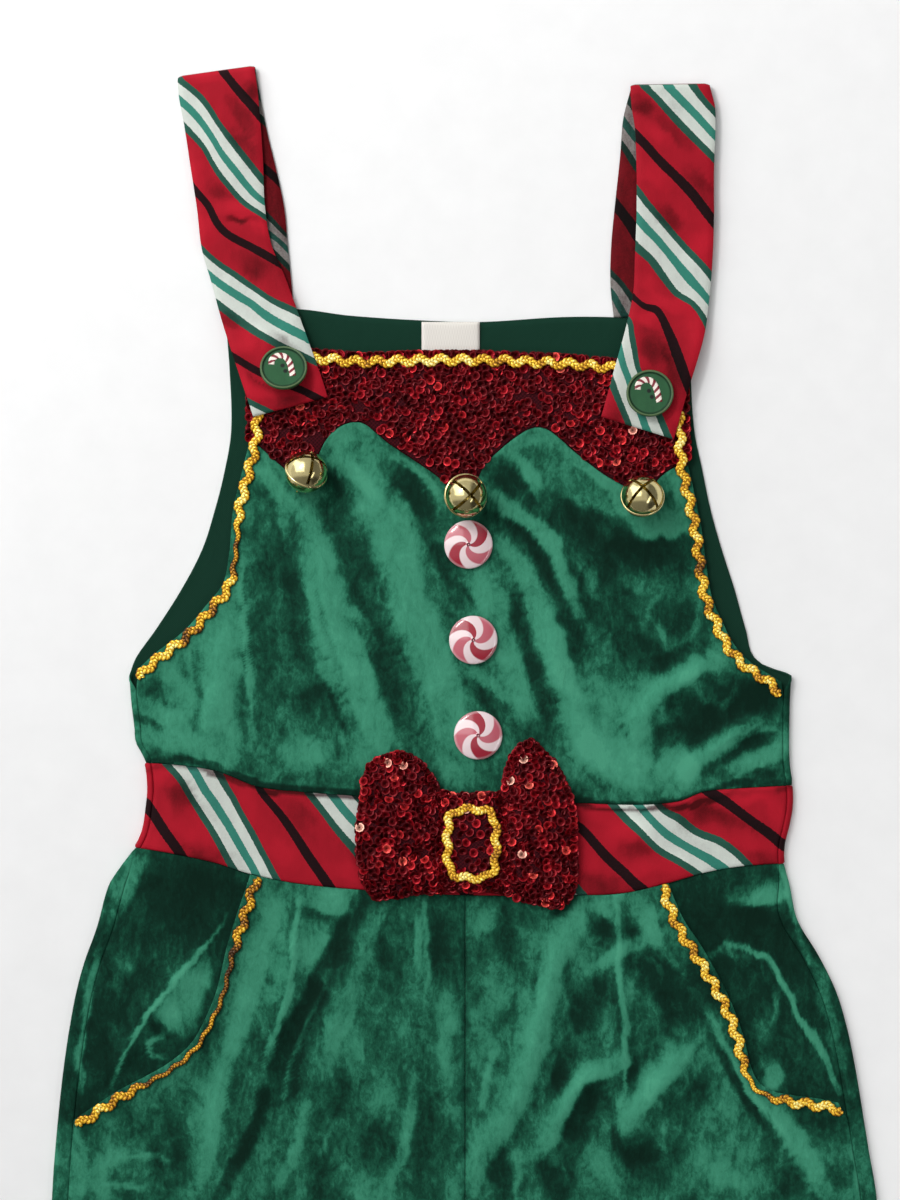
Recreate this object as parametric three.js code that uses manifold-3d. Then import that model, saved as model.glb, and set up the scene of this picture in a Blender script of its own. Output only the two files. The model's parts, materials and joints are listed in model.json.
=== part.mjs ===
// Festive elf dungarees in green velvet, laid flat on their back, in millimetres.
//
// The frame: +X runs to the viewer's right, +Y from the waist towards the straps, +Z up
// from the surface the garment lies on. The origin is on the underside, at the centre back
// of the waistband. "Left" and "right" are the viewer's, so left pieces have a negative X.
//
// Each piece is a wall of cloth of its own: the back panels lie on the surface and roll up
// over the side folds, and the front panels lie on them and meet that roll at the side seams.

import * as THREE from 'three';
import { mergeVertices } from 'three/addons/utils/BufferGeometryUtils.js';
import Module from 'manifold-3d';

const wasm = await Module();
wasm.setup();

// Driving dimensions.
const VELVET = 1.6; // thickness of one layer of velvet
const BAND = 2.4; // thickness of the lined waistband
const STRAP = 2.6; // thickness of a strap, which is a doubled band
const SEQUIN_CLOTH = 2.0; // thickness of the sequinned yoke
const SEAM_GAP = 0.4; // space between two pieces at a seam
const YOKE_GAP = 0.7; // the same, upwards, at the steep zigzag seam of the yoke
const SIDE_GAP = 0.5; // the same at a side seam
const FRONT_LEVEL = 5.0; // height of the middle of the front cloth
const SIDE_LEVEL = 4.0; // height of the middle of the front cloth at a side seam
const ARM_LEVEL = 4.6; // the same at the free armhole and bib edges
const SIDE_FALL = 22; // distance over which the front comes down to a side seam
const POCKET_LIFT = 1.7; // how far the mouth of a pocket stands up from the front
const POCKET_LEVEL = 3.4; // height of the middle of the hip panel under that edge
const BODY_LIP = 4; // width of back cloth rolled over to the front at bib and band
const LEG_LIP = 10; // the same at the outside of a leg
const INSEAM_LIP = 4; // the same at the inside of a leg
const CENTRE_X = 2; // centre front and centre back seam
const CROTCH_Y = -330;
const WAIST_FRONT_Y = -37; // the lower waist seam at the centre front
const HEM_Y = -994;
const BACK_STEPS = 4; // columns across the flat part of a back panel

const MINT = { radius: 15, height: 5.2, rim: 1.8 };
const BUTTON = { radius: 14.6, height: 3.2, rim: 1.3, dish: 0.7, hole: 1.1, holeOffset: 2.3 };
const BELL = { radius: 13, wall: 0.8, bead: 13.6, slot: 1.9, slotTop: 1.5, pellet: 3.4 };
const EYE = { ring: 2.4, wire: 0.8, reach: 15.2 }; // reach: from the eye's centre to the bell's
const THREAD = { radius: 0.8, height: 3.7, spread: 4.6 };
const TRIM = { width: 4.6, sway: 1.7, wave: 13, thickness: 1.2, steps: 4, inset: 4.2 };
const LABEL = { x: -7, y: 300, width: 36, thickness: 0.9 };

// Outlines, as rows of [y, x]. The sides are the outline of the whole garment.
const SIDE_LEFT = [
  [99, -206], [84, -205], [65, -203], [53, -202], [43, -197], [28, -195], [16, -196],
  [3, -198], [-7, -202], [-22, -212], [-34, -219], [-59, -226], [-84, -235], [-108, -241],
  [-146, -247], [-195, -252], [-226, -254], [-300, -256], [-500, -252], [-750, -249], [-994, -247],
];
const SIDE_RIGHT = [
  [99, 204], [78, 203], [53, 203], [40, 205], [28, 205], [16, 203], [3, 200], [-9, 200],
  [-22, 203], [-46, 208], [-71, 221], [-96, 232], [-121, 239], [-146, 244], [-170, 248],
  [-195, 252], [-226, 257], [-300, 260], [-500, 256], [-750, 253], [-994, 251],
];
// The free armhole edges, from the underarm up.
const BACK_ARM_LEFT = [
  [99, -206], [110, -202], [127, -190], [152, -174], [177, -161], [202, -153], [226, -147],
  [251, -143], [288, -144], [325, -147],
];
const BACK_ARM_RIGHT = [
  [99, 204], [108, 183], [127, 176], [152, 169], [177, 161], [202, 154], [226, 149],
  [251, 144], [288, 142], [325, 143],
];
// How far a leg's inside edge stands from the centre line, below the crotch.
const INSEAM = [
  [-330, 0.4], [-345, 4], [-370, 10], [-420, 18], [-500, 26], [-650, 35], [-800, 42], [-994, 48],
];
// Seams that cross the body, as rows of [x, y].
const WAIST_TOP = [
  [-206, 45], [-181, 44], [-153, 40], [-126, 30], [-100, 27], [-57, 24], [2, 21], [70, 20],
  [110, 19], [134, 21], [150, 27], [170, 29], [206, 31],
];
const WAIST_BOTTOM = [
  [-206, -7], [-181, -11], [-153, -17], [-131, -24], [-100, -30], [-57, -34], [2, -37], [67, -37],
  [98, -36], [126, -30], [151, -23], [175, -19], [206, -17],
];
const BIB_TOP = [
  [-131, 301], [-89, 299], [-63, 297], [-25, 298], [11, 298], [61, 296], [98, 293], [138, 291],
];
const BACK_TOP = [
  [-147, 325], [-102, 326], [-70, 322], [-25, 319], [11, 318], [61, 321], [93, 321], [143, 319],
];
// The seam between the sequinned yoke and the velvet: three points down, two rounded peaks.
const YOKE_SEAM = [
  [-132, 242], [-126, 241], [-118, 234], [-110, 227], [-100, 217], [-91, 231], [-84, 245],
  [-77, 252], [-69, 255.5], [-61, 255], [-53, 249], [-46, 243], [-31, 233], [-15, 222], [2, 208],
  [14, 229], [24, 239], [34, 247], [43, 252], [51, 252], [59, 247], [69, 238], [87, 224],
  [99, 217], [112, 209], [122, 221], [132, 228], [140, 229],
];
// Front edges in plan, as rows of [x, y], from the top down.
const FRONT_ARM_LEFT = [
  [-132, 242], [-137, 222], [-142, 200], [-144, 176], [-148, 156], [-158, 143], [-172, 127],
  [-190, 113], [-200, 104],
];
const FRONT_ARM_RIGHT = [
  [140, 229], [145, 207], [149, 186], [151, 170], [155, 147], [161, 133], [168, 119], [179, 107],
  [190, 100], [198, 95],
];
const POCKET_LEFT = [
  [-131, -25], [-135, -38], [-141, -57], [-146, -74], [-152, -98], [-159, -114], [-168, -129],
  [-182, -141], [-196, -149], [-213, -158], [-227, -167], [-240, -176],
];
const POCKET_RIGHT = [
  [128, -30], [132, -42], [138, -56], [147, -70], [155, -83], [163, -97], [170, -112], [175, -127],
  [178.5, -142], [184, -153], [194, -158.5], [207, -161], [222, -163], [235.8, -166],
];

// Soft ridges on the front, each along a path, with its half width and its height.
const FOLDS = [
  { path: [[-99, -36], [-110, -102], [-128, -170], [-140, -215]], width: 7, height: 2.2 },
  { path: [[96, -36], [98, -102], [100, -186]], width: 7, height: 2.4 },
  { path: [[141, -131], [120, -160], [100, -188]], width: 10, height: 3.0 },
  { path: [[84, -52], [58, -74], [47, -118], [34, -161], [2, -212]], width: 10, height: 2.8 },
  { path: [[94, -136], [66, -162], [47, -200]], width: 9, height: 2.6 },
  { path: [[-56, -56], [-67, -80], [-88, -136], [-96, -190]], width: 9, height: 2.0 },
  { path: [[-25, -58], [-28, -110], [-33, -170]], width: 8, height: 1.5 },
  { path: [[-52, 185], [-37, 135], [-16, 96]], width: 13, height: 2.2 },
  { path: [[-92, 190], [-89, 120], [-67, 84]], width: 12, height: 2.0 },
  { path: [[-146, 128], [-150, 92], [-156, 62]], width: 11, height: 2.4 },
  { path: [[38, 190], [62, 150], [58, 100], [76, 66]], width: 13, height: 2.3 },
  { path: [[156, 106], [126, 88], [106, 64]], width: 9, height: 2.6 },
  { path: [[186, 70], [168, 62], [150, 48]], width: 8, height: 2.2 },
  { path: [[-40, -262], [-92, -300], [-168, -330]], width: 13, height: 3.2 },
  { path: [[34, -250], [96, -306], [176, -352]], width: 14, height: 3.2 },
  { path: [[-150, -380], [-138, -560], [-144, -760]], width: 15, height: 2.6 },
  { path: [[146, -400], [158, -600], [148, -820]], width: 15, height: 2.8 },
  { path: [[-60, -470], [-112, -520], [-190, -540]], width: 12, height: 3.0 },
  { path: [[220, -500], [150, -548], [80, -560]], width: 12, height: 3.0 },
  { path: [[-90, -800], [-100, -900], [-96, -980]], width: 14, height: 2.2 },
  { path: [[100, -780], [108, -890], [98, -980]], width: 14, height: 2.2 },
];
// Folds of the hip panels inside the pocket mouths.
const HIP_FOLDS = [
  { path: [[-148, -58], [-176, -90], [-200, -124], [-216, -150]], width: 8, height: 1.6 },
  { path: [[160, -74], [186, -80], [206, -104], [226, -150]], width: 8, height: 1.4 },
];

// Straps: edge points of each section in plan and the height of the middle of the cloth,
// from the buttoned end on the bib, over the top fold, to the back of the bib.
const STRAP_COLUMNS = ['leftX', 'leftY', 'rightX', 'rightY', 'height'];
const STRAP_FRONT_LEFT = rows(STRAP_COLUMNS, [
  [-129, 259, -83, 271, 9.5], [-133, 271, -86, 281, 9.6], [-138, 286, -91, 295, 9.9],
  [-143, 301, -96, 309, 9.4], [-149, 320, -103, 328, 6.6], [-155, 342, -110, 347, 5.4],
  [-161, 363, -118, 366, 5.3], [-164, 388, -122, 390, 5.8], [-168, 414, -123, 416, 6.2],
  [-172, 440, -125, 445, 5.6], [-175, 456, -126.6, 462, 5.3], [-176, 466.8, -128.2, 473.6, 5.2],
]);
const STRAP_BACK_LEFT = rows(STRAP_COLUMNS, [
  [-175.4, 466.8, -127.8, 473.6, 1.3], [-168, 437, -121, 437, 1.3], [-162, 412, -115, 412, 1.3],
  [-157, 388, -110, 388, 1.3], [-155, 366, -108, 366, 1.3], [-153, 346, -106, 346, 1.3],
  [-150, 325.8, -104, 324.6, 1.3],
]);
const STRAP_FRONT_RIGHT = rows(STRAP_COLUMNS, [
  [86, 259, 131, 245, 9.5], [90, 273, 135, 259, 9.6], [94, 288, 140, 276, 9.8],
  [98, 302, 145, 292, 9.4], [102, 317, 150, 310, 7.0], [106, 336, 153, 331, 5.4],
  [107, 358, 155, 355, 5.3], [108, 384, 156, 383, 5.8], [108, 412, 156, 412, 6.0],
  [107, 438, 157, 438, 5.6], [105, 451, 156.6, 451, 5.3], [104.3, 461.8, 153.8, 462.4, 5.2],
]);
const STRAP_BACK_RIGHT = rows(STRAP_COLUMNS, [
  [104.5, 461.8, 152.6, 462.4, 1.3], [100, 444, 148, 444, 1.3], [98, 420, 147, 420, 1.3],
  [95, 392, 144, 392, 1.3], [92.5, 365, 141, 365, 1.3], [92, 342, 140, 342, 1.3],
  [94, 321.0, 141, 319.6, 1.3],
]);

// The bow's two loops in plan: the four edges of each, between corners.
const BOW_LEVEL = 6.8; // underside of the bow
const BOW_LEFT = {
  top: [[-13.5, 22], [-20, 37], [-30, 47], [-40, 50]],
  outer: [[-40, 50], [-56, 43], [-61, 22], [-63, -9], [-58, -31], [-52, -38]],
  bottom: [[-13.5, -33], [-24, -34], [-38, -36], [-52, -38]],
  inner: [[-13.5, 22], [-13.5, -6], [-13.5, -33]],
};
const BOW_RIGHT = {
  top: [[25.5, 22], [29, 42], [35, 53], [43, 58]],
  outer: [[43, 58], [56, 44], [67, 22], [69, -9], [68, -34], [61, -43]],
  bottom: [[25.5, -33], [34, -37], [48, -41], [61, -43]],
  inner: [[25.5, 22], [25.5, -6], [25.5, -33]],
};
const KNOT = { x: 6, y: -4, halfWidth: 19, halfLength: 30, height: 9, edge: 4.2 };
const BUCKLE = { x: 6, y: -4.5, halfWidth: 14.5, halfLength: 21, corner: 9, sway: 1.2, waves: 10 };

// Hard trimmings.
const MINTS = rows(['name', 'x', 'y', 'turn'], [
  ['mint_top', 4, 180, 0], ['mint_middle', 7, 121, 40], ['mint_bottom', 10, 62, 80],
]);
const STRAP_BUTTONS = rows(['name', 'x', 'y', 'tilt'], [
  ['strap_button_left', -110, 288, 24], ['strap_button_right', 116, 273, 8],
]);
// A bell leans from upright by its tilt, towards the bearing, in degrees from +X.
const BELLS = rows(['side', 'x', 'y', 'bearing', 'tilt', 'spin'], [
  ['left', -101, 214.5, 64, 48, 20], ['centre', -1.5, 210, 0, 14, 45], ['right', 111, 202.5, 90, 27, 45],
]);

const group = new THREE.Group();

// Turns a short table into objects with named columns.
function rows(names, table) {
  return table.map((values) => Object.fromEntries(names.map((name, i) => [name, values[i]])));
}

// A smooth function through rows of [key, value], by cubic pieces between neighbours.
function smooth(table) {
  const points = [...table].sort((a, b) => a[0] - b[0]);
  const slope = points.map((_, i) => {
    const a = points[Math.max(i - 1, 0)];
    const b = points[Math.min(i + 1, points.length - 1)];
    return (b[1] - a[1]) / (b[0] - a[0]);
  });
  return (key) => {
    const k = Math.min(Math.max(key, points[0][0]), points.at(-1)[0]);
    let i = points.findIndex((p) => p[0] >= k) - 1;
    i = Math.max(i, 0);
    const [a, b] = [points[i], points[i + 1]];
    const span = b[0] - a[0];
    const t = (k - a[0]) / span;
    const [t2, t3] = [t * t, t * t * t];
    return (2 * t3 - 3 * t2 + 1) * a[1] + (t3 - 2 * t2 + t) * span * slope[i]
      + (3 * t2 - 2 * t3) * b[1] + (t3 - t2) * span * slope[i + 1];
  };
}

// A point at a share of the length of a smooth curve through points in plan.
function alongCurve(points) {
  const stations = points.map(([x, y]) => new THREE.Vector3(x, y, 0));
  const curve = new THREE.CatmullRomCurve3(stations, false, 'centripetal');
  curve.arcLengthDivisions = 400;
  return curve;
}

const sideLeft = smooth(SIDE_LEFT);
const sideRight = smooth(SIDE_RIGHT);
const backArmLeft = smooth(BACK_ARM_LEFT);
const backArmRight = smooth(BACK_ARM_RIGHT);
const inseam = smooth(INSEAM);
const waistTop = smooth(WAIST_TOP);
const waistBottom = smooth(WAIST_BOTTOM);
const bibTop = smooth(BIB_TOP);
const backTop = smooth(BACK_TOP);

const mix = (a, b, t) => a + (b - a) * t;
const ease = (t) => {
  const s = Math.min(Math.max(t, 0), 1);
  return s * s * (3 - 2 * s);
};

// Shortest distance from a point to a path, and the share of the path where it is.
function nearest(path, x, y) {
  let best = { distance: Infinity, share: 0 };
  const last = path.length - 1;
  for (let i = 0; i < last; i += 1) {
    const [ax, ay] = path[i];
    const [bx, by] = path[i + 1];
    const [dx, dy] = [bx - ax, by - ay];
    const t = Math.min(Math.max(((x - ax) * dx + (y - ay) * dy) / (dx * dx + dy * dy), 0), 1);
    const distance = Math.hypot(x - ax - t * dx, y - ay - t * dy);
    if (distance < best.distance) best = { distance, share: (i + t) / last };
  }
  return best;
}

// Height that folds add at a point: a soft ridge that fades out at both ends of its path.
function foldHeight(folds, x, y) {
  return folds.reduce((height, fold) => {
    const { distance, share } = nearest(fold.path, x, y);
    const fade = Math.sin(Math.PI * (0.12 + 0.76 * share));
    return height + fold.height * fade * Math.exp(-((distance / fold.width) ** 2));
  }, 0);
}

// Height of the middle of the front cloth: level in the middle, lower at its edges.
function frontHeight(x, y) {
  const toSide = Math.min(x - sideLeft(y), sideRight(y) - x) - LEG_LIP / 2;
  const side = mix(SIDE_LEVEL, FRONT_LEVEL, ease(toSide / SIDE_FALL));
  const fromInseam = Math.abs(x - CENTRE_X) - inseam(y) - INSEAM_LIP;
  const belowCrotch = ease((CROTCH_Y - y) / 30);
  const inner = mix(SIDE_LEVEL, FRONT_LEVEL, ease(fromInseam / SIDE_FALL));
  const level = y < CROTCH_Y ? mix(side, Math.min(side, inner), belowCrotch) : side;
  const calm = ease((Math.min(toSide, y < CROTCH_Y ? fromInseam : SIDE_FALL) - 4) / 18);
  return level + foldHeight(FOLDS, x, y) * calm;
}

// Builds a closed body between two grids of points, the outer and the inner skin.
function closedBody(outer, inner, loop = false) {
  const [R, C] = [outer.length, outer[0].length];
  const positions = [...outer.flat(), ...inner.flat()].flatMap((p) => [p.x, p.y, p.z]);
  const at = (skin, r, c) => skin * R * C + (r % R) * C + c;
  const index = [];
  const quad = (a, b, c, d) => index.push(a, b, c, a, c, d);
  const rowEnd = loop ? R : R - 1;
  for (let r = 0; r < rowEnd; r += 1) {
    for (let c = 0; c < C - 1; c += 1) {
      quad(at(0, r, c), at(0, r, c + 1), at(0, r + 1, c + 1), at(0, r + 1, c));
      quad(at(1, r, c), at(1, r + 1, c), at(1, r + 1, c + 1), at(1, r, c + 1));
    }
    quad(at(0, r, 0), at(0, r + 1, 0), at(1, r + 1, 0), at(1, r, 0));
    quad(at(0, r, C - 1), at(1, r, C - 1), at(1, r + 1, C - 1), at(0, r + 1, C - 1));
  }
  if (!loop) {
    for (let c = 0; c < C - 1; c += 1) {
      quad(at(0, 0, c), at(1, 0, c), at(1, 0, c + 1), at(0, 0, c + 1));
      quad(at(0, R - 1, c), at(0, R - 1, c + 1), at(1, R - 1, c + 1), at(1, R - 1, c));
    }
  }
  const geometry = new THREE.BufferGeometry();
  geometry.setAttribute('position', new THREE.Float32BufferAttribute(positions, 3));
  geometry.setIndex(volume(positions, index) < 0 ? turned(index) : index);
  geometry.computeVertexNormals();
  return geometry;
}

// Six times the volume that the triangles enclose, negative when they face inwards.
function volume(p, index) {
  let sum = 0;
  for (let i = 0; i < index.length; i += 3) {
    const [a, b, c] = [index[i] * 3, index[i + 1] * 3, index[i + 2] * 3];
    sum += p[a] * (p[b + 1] * p[c + 2] - p[b + 2] * p[c + 1])
      - p[a + 1] * (p[b] * p[c + 2] - p[b + 2] * p[c])
      + p[a + 2] * (p[b] * p[c + 1] - p[b + 1] * p[c]);
  }
  return sum;
}

function turned(index) {
  const flipped = [];
  for (let i = 0; i < index.length; i += 3) flipped.push(index[i], index[i + 2], index[i + 1]);
  return flipped;
}

// A wall of even thickness round a grid of points in the middle of the cloth. An upright
// wall keeps each row in its own plane, so that its ends meet their neighbours squarely.
function clothWall(middle, thickness, upright = false) {
  const [R, C] = [middle.length, middle[0].length];
  const skins = [[], []];
  for (let r = 0; r < R; r += 1) {
    skins.forEach((skin) => skin.push([]));
    for (let c = 0; c < C; c += 1) {
      const across = middle[r][Math.min(c + 1, C - 1)].clone().sub(middle[r][Math.max(c - 1, 0)]);
      const down = middle[Math.min(r + 1, R - 1)][c].clone().sub(middle[Math.max(r - 1, 0)][c]);
      const normal = (upright ? new THREE.Vector3(across.z, 0, -across.x) : down.cross(across));
      normal.normalize().multiplyScalar(thickness / 2);
      skins[0][r].push(middle[r][c].clone().add(normal));
      skins[1][r].push(middle[r][c].clone().sub(normal));
    }
  }
  return closedBody(skins[0], skins[1]);
}

// A wall over a plan: the same, moved straight up and down, so its edges stay upright.
function levelWall(middle, thickness) {
  const shift = (dz) => middle.map((row) => row.map((p) => new THREE.Vector3(p.x, p.y, p.z + dz)));
  return closedBody(shift(thickness / 2), shift(-thickness / 2));
}

const finishes = {
  velvet: { color: 0x1f6b4a, roughness: 0.85, metalness: 0 },
  lining: { color: 0x17402c, roughness: 0.95, metalness: 0 },
  stripe: { color: 0xa31a2a, roughness: 0.8, metalness: 0 },
  sequin: { color: 0x7a0f1c, roughness: 0.3, metalness: 0.4 },
  goldTrim: { color: 0xd9a417, roughness: 0.4, metalness: 0.6 },
  brass: { color: 0xc8b45a, roughness: 0.18, metalness: 1 },
  button: { color: 0x1c5a38, roughness: 0.35, metalness: 0 },
  mint: { color: 0xd9a9ac, roughness: 0.2, metalness: 0 },
  satin: { color: 0xe6e0d4, roughness: 0.4, metalness: 0 },
  thread: { color: 0x7c1520, roughness: 0.8, metalness: 0 },
};

function addPiece(name, geometry, finish) {
  const mesh = new THREE.Mesh(geometry, new THREE.MeshStandardMaterial(finishes[finish]));
  mesh.name = name;
  group.add(mesh);
  return mesh;
}

// The roll of back cloth over a side fold, as steps from where it leaves the surface.
// At a full turn it lies on the front with a lip; at less it is only starting to rise.
function roll(turn, lip, thickness) {
  const level = thickness / 2;
  const radius = (SIDE_LEVEL - level) / 2;
  const steps = 3;
  const points = [];
  for (let i = 1; i <= steps; i += 1) {
    const share = i / steps;
    const angle = Math.PI * turn * share;
    const bend = turn > 0.01 ? radius / turn : 0;
    const flat = Math.PI * radius * share;
    points.push([bend ? bend * Math.sin(angle) : flat, bend ? bend * (1 - Math.cos(angle)) : 0]);
  }
  const [dx, dz] = points.at(-1);
  const run = Math.max(lip - radius - level, 0.8) * turn ** 2 + 0.8 * (1 - turn);
  points.push([dx + run * Math.cos(Math.PI * turn), dz + run * Math.sin(Math.PI * turn)]);
  return points;
}

// One row of a back panel: rolled edge, flat middle, rolled edge, from left to right.
function backRow(y, left, right, thickness, yAt = () => y) {
  const edge = (side, sign) => {
    const steps = roll(side.turn, side.lip, thickness);
    const reach = Math.max(...steps.map(([dx]) => dx), 0);
    const skin = side.turn > 0.5 ? thickness / 2 : 0;
    const root = side.x - sign * (reach + skin);
    return { root, points: steps.map(([dx, dz]) => [root + sign * dx, thickness / 2 + dz]) };
  };
  const [a, b] = [edge(left, -1), edge(right, 1)];
  const flat = Array.from({ length: BACK_STEPS + 1 }, (_, i) => mix(a.root, b.root, i / BACK_STEPS));
  const section = [...a.points.reverse(), ...flat.map((x) => [x, thickness / 2]), ...b.points];
  return section.map(([x, z]) => new THREE.Vector3(x, yAt(x), z));
}

// On the back, which no fold disturbs, the two waist seams run straight to the centre.
const backSeam = (left, right, centre) => (x) => {
  const share = Math.abs(x - CENTRE_X) / 203;
  return mix(centre, x < CENTRE_X ? left : right, share);
};
const backWaistTop = backSeam(45.6, 31, 21);
const backWaistBottom = backSeam(-7.8, -17, -37);

// Back of the bib: flat with free armhole edges, rolled over the sides below the underarm.
const UNDERARM = 99;
const BIB_SIDE_LEVELS = [86, 72, 56, 40];
function backBib() {
  const top = BACK_TOP[0][1];
  const free = [1, 0.82, 0.62, 0.42, 0.25, 0.12, 0.04].map((share) => mix(UNDERARM, top, share));
  const row = (y, turn) => {
    const open = y > UNDERARM - 0.01;
    const left = { x: (open ? backArmLeft : sideLeft)(y), turn, lip: BODY_LIP };
    const right = { x: (open ? backArmRight : sideRight)(y), turn, lip: BODY_LIP };
    const topShare = ease((y - 250) / (top - 250));
    const lowShare = ease((86 - y) / (86 - 40));
    return backRow(y, left, right, VELVET, (x) => {
      const up = (backTop(x) - top) * topShare;
      return y + up + (backWaistTop(x) + SEAM_GAP / 2 - 40) * lowShare;
    });
  };
  const turning = [row(UNDERARM, 0.25), row(94, 0.62)];
  return [...free.map((y) => row(y, 0)), ...turning, ...BIB_SIDE_LEVELS.map((y) => row(y, 1))];
}

// Back of the waistband: a straight band that follows the two waist seams at its ends.
const BAND_SHARES = [0, 1 / 3, 2 / 3, 1];
function backBand() {
  return BAND_SHARES.map((share) => {
    const level = mix(42, -9, share);
    const left = { x: sideLeft(level), turn: 1, lip: BODY_LIP };
    const right = { x: sideRight(level), turn: 1, lip: BODY_LIP };
    const yAt = (x) => mix(backWaistTop(x) - SEAM_GAP / 2, backWaistBottom(x) + SEAM_GAP / 2, share);
    return backRow(level, left, right, BAND, yAt);
  });
}

// Levels of the rows down a leg: beside the pocket mouth, and below it to the hem. They
// stand closer together at the hip and the crotch.
const MOUTH_LEVELS = [-8, -20, -34, -50, -70, -92, -116, -145, -176];
const LOWER_LEVELS = [-215, -265, -326, -333, -341, -352, -385, -440, -530, -660, -800, -900, HEM_Y];

// How far the inside edge of a leg has rolled over at a level: nought above the crotch.
const inseamTurn = (y) => ease((CROTCH_Y + 4 - y) / 16);

function backLeg(sign) {
  return [...MOUTH_LEVELS, ...LOWER_LEVELS].map((y) => {
    const lip = mix(BODY_LIP, LEG_LIP, ease((-8 - y) / 30));
    const outer = { x: (sign < 0 ? sideLeft : sideRight)(y), turn: 1, lip };
    const away = y > CROTCH_Y ? SEAM_GAP / 2 : inseam(y);
    const inner = { x: CENTRE_X + sign * away, turn: inseamTurn(y), lip: INSEAM_LIP };
    const topShare = 1 - ease((-8 - y) / 130);
    const yAt = (x) => y + (backWaistBottom(x) - SEAM_GAP / 2 + 8) * topShare;
    return sign < 0 ? backRow(y, outer, inner, VELVET, yAt) : backRow(y, inner, outer, VELVET, yAt);
  });
}

// The edge that a front meets at a side: the end of the rolled cloth, a gap further in.
function frontEdge(grid, sign, gap = SIDE_GAP) {
  return grid.map((row) => {
    const end = sign < 0 ? row[0] : row.at(-1);
    return new THREE.Vector3(end.x - sign * gap, end.y, 0);
  });
}

const backs = { bib: backBib(), band: backBand(), left: backLeg(-1), right: backLeg(1) };
const bandEdges = [frontEdge(backs.band, -1), frontEdge(backs.band, 1)];
const bibEdges = [-1, 1].map((sign) => frontEdge(backs.bib.slice(-BIB_SIDE_LEVELS.length), sign));

// Columns of the bib, the yoke and the waistband, as shares of their width, and the points
// where they meet the two waist seams. Between these points the seams are straight.
const COLUMNS = YOKE_SEAM.map(([x]) => (x - YOKE_SEAM[0][0]) / (YOKE_SEAM.at(-1)[0] - YOKE_SEAM[0][0]));
const seamStations = (row) => COLUMNS.map((u) => mix(bandEdges[0][row].x, bandEdges[1][row].x, u));
const topStations = seamStations(0);
const bottomStations = seamStations(BAND_SHARES.length - 1);

function straightBetween(stations, curve, x) {
  let i = stations.findIndex((station) => station >= x) - 1;
  if (i < 0) i = x > stations[0] ? stations.length - 2 : 0;
  const [a, b] = [stations[i], stations[i + 1]];
  return mix(curve(a), curve(b), (x - a) / (b - a));
}
const bandTop = (x) => straightBetween(topStations, waistTop, x);
const bandBottom = (x) => straightBetween(bottomStations, waistBottom, x);

// Shares of the way from one x to another where a panel below the waist has its columns.
function columnShares(from, to) {
  const [low, high] = [Math.min(from, to) + 1, Math.max(from, to) - 1];
  const inside = bottomStations.filter((x) => x > low && x < high);
  if (from > to) inside.reverse();
  return [from, ...inside, to].map((x) => (x - from) / (to - from));
}

// Front of a leg: its outer edge follows the pocket mouth and then the side seam.
function frontLeg(sign, pocket, back) {
  const mouth = alongCurve(pocket);
  const mouthRows = 9;
  const side = frontEdge(back, sign).slice(MOUTH_LEVELS.length);
  const [startX, centre] = [pocket[0][0], CENTRE_X + (sign * SEAM_GAP) / 2];
  const shares = columnShares(startX, centre);
  const row = (outer, inner, adjust) => shares.map((t) => {
    const x = mix(outer.x, inner.x, t);
    const y = mix(outer.y, inner.y, t) + adjust(x, t);
    const lift = POCKET_LIFT * (1 - ease(nearest(pocket, x, y).distance / 26));
    return new THREE.Vector3(x, y, frontHeight(x, y) + lift);
  });
  const upper = Array.from({ length: mouthRows + 1 }, (_, r) => {
    const inner = new THREE.Vector3(centre, mix(WAIST_FRONT_Y, -186, r / mouthRows), 0);
    const follow = 1 - ease(r / 5);
    const chord = (t) => mix(pocket[0][1], WAIST_FRONT_Y, t);
    const adjust = (x, t) => (bandBottom(x) - SEAM_GAP / 2 - chord(t)) * follow;
    return row(mouth.getPointAt(r / mouthRows), inner, adjust);
  });
  const lower = side.map((outer) => {
    const { y } = outer;
    const away = y > CROTCH_Y ? SEAM_GAP / 2 : inseam(y);
    const lip = inseamTurn(y) * (INSEAM_LIP + SIDE_GAP);
    const inner = new THREE.Vector3(CENTRE_X + sign * (away + lip), y, 0);
    return row(outer, inner, () => 0);
  });
  return [...upper, ...lower];
}

// The panel behind a pocket mouth: it runs from the side seam to under the front of the leg.
function hipPanel(sign, pocket, back) {
  const mouth = alongCurve(pocket);
  const side = frontEdge(back, sign).slice(0, MOUTH_LEVELS.length);
  const tuck = 11;
  const hidden = MOUTH_LEVELS.map((level) => {
    const share = (level - MOUTH_LEVELS[0]) / (MOUTH_LEVELS.at(-1) - MOUTH_LEVELS[0]);
    const tangent = mouth.getTangentAt(share);
    const inward = new THREE.Vector3(sign * tangent.y, -sign * tangent.x, 0);
    return mouth.getPointAt(share).addScaledVector(inward, tuck * (1 - 0.5 * share));
  });
  const shares = columnShares(side[0].x, hidden[0].x);
  return side.map((outer, r) => shares.map((t) => {
    const x = mix(outer.x, hidden[r].x, t);
    const y = r === 0 ? bandBottom(x) - SEAM_GAP / 2 : mix(outer.y, hidden[r].y, t);
    const open = ease((nearest(pocket, x, y).distance - 4) / 14);
    const calm = ease(Math.abs(x - outer.x) / 12);
    const behind = pocketSide(sign, pocket, x, y) ? open : 0;
    const raised = SIDE_LEVEL + foldHeight(HIP_FOLDS, x, y) * calm;
    return new THREE.Vector3(x, y, mix(POCKET_LEVEL, raised, behind));
  }));
}

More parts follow.
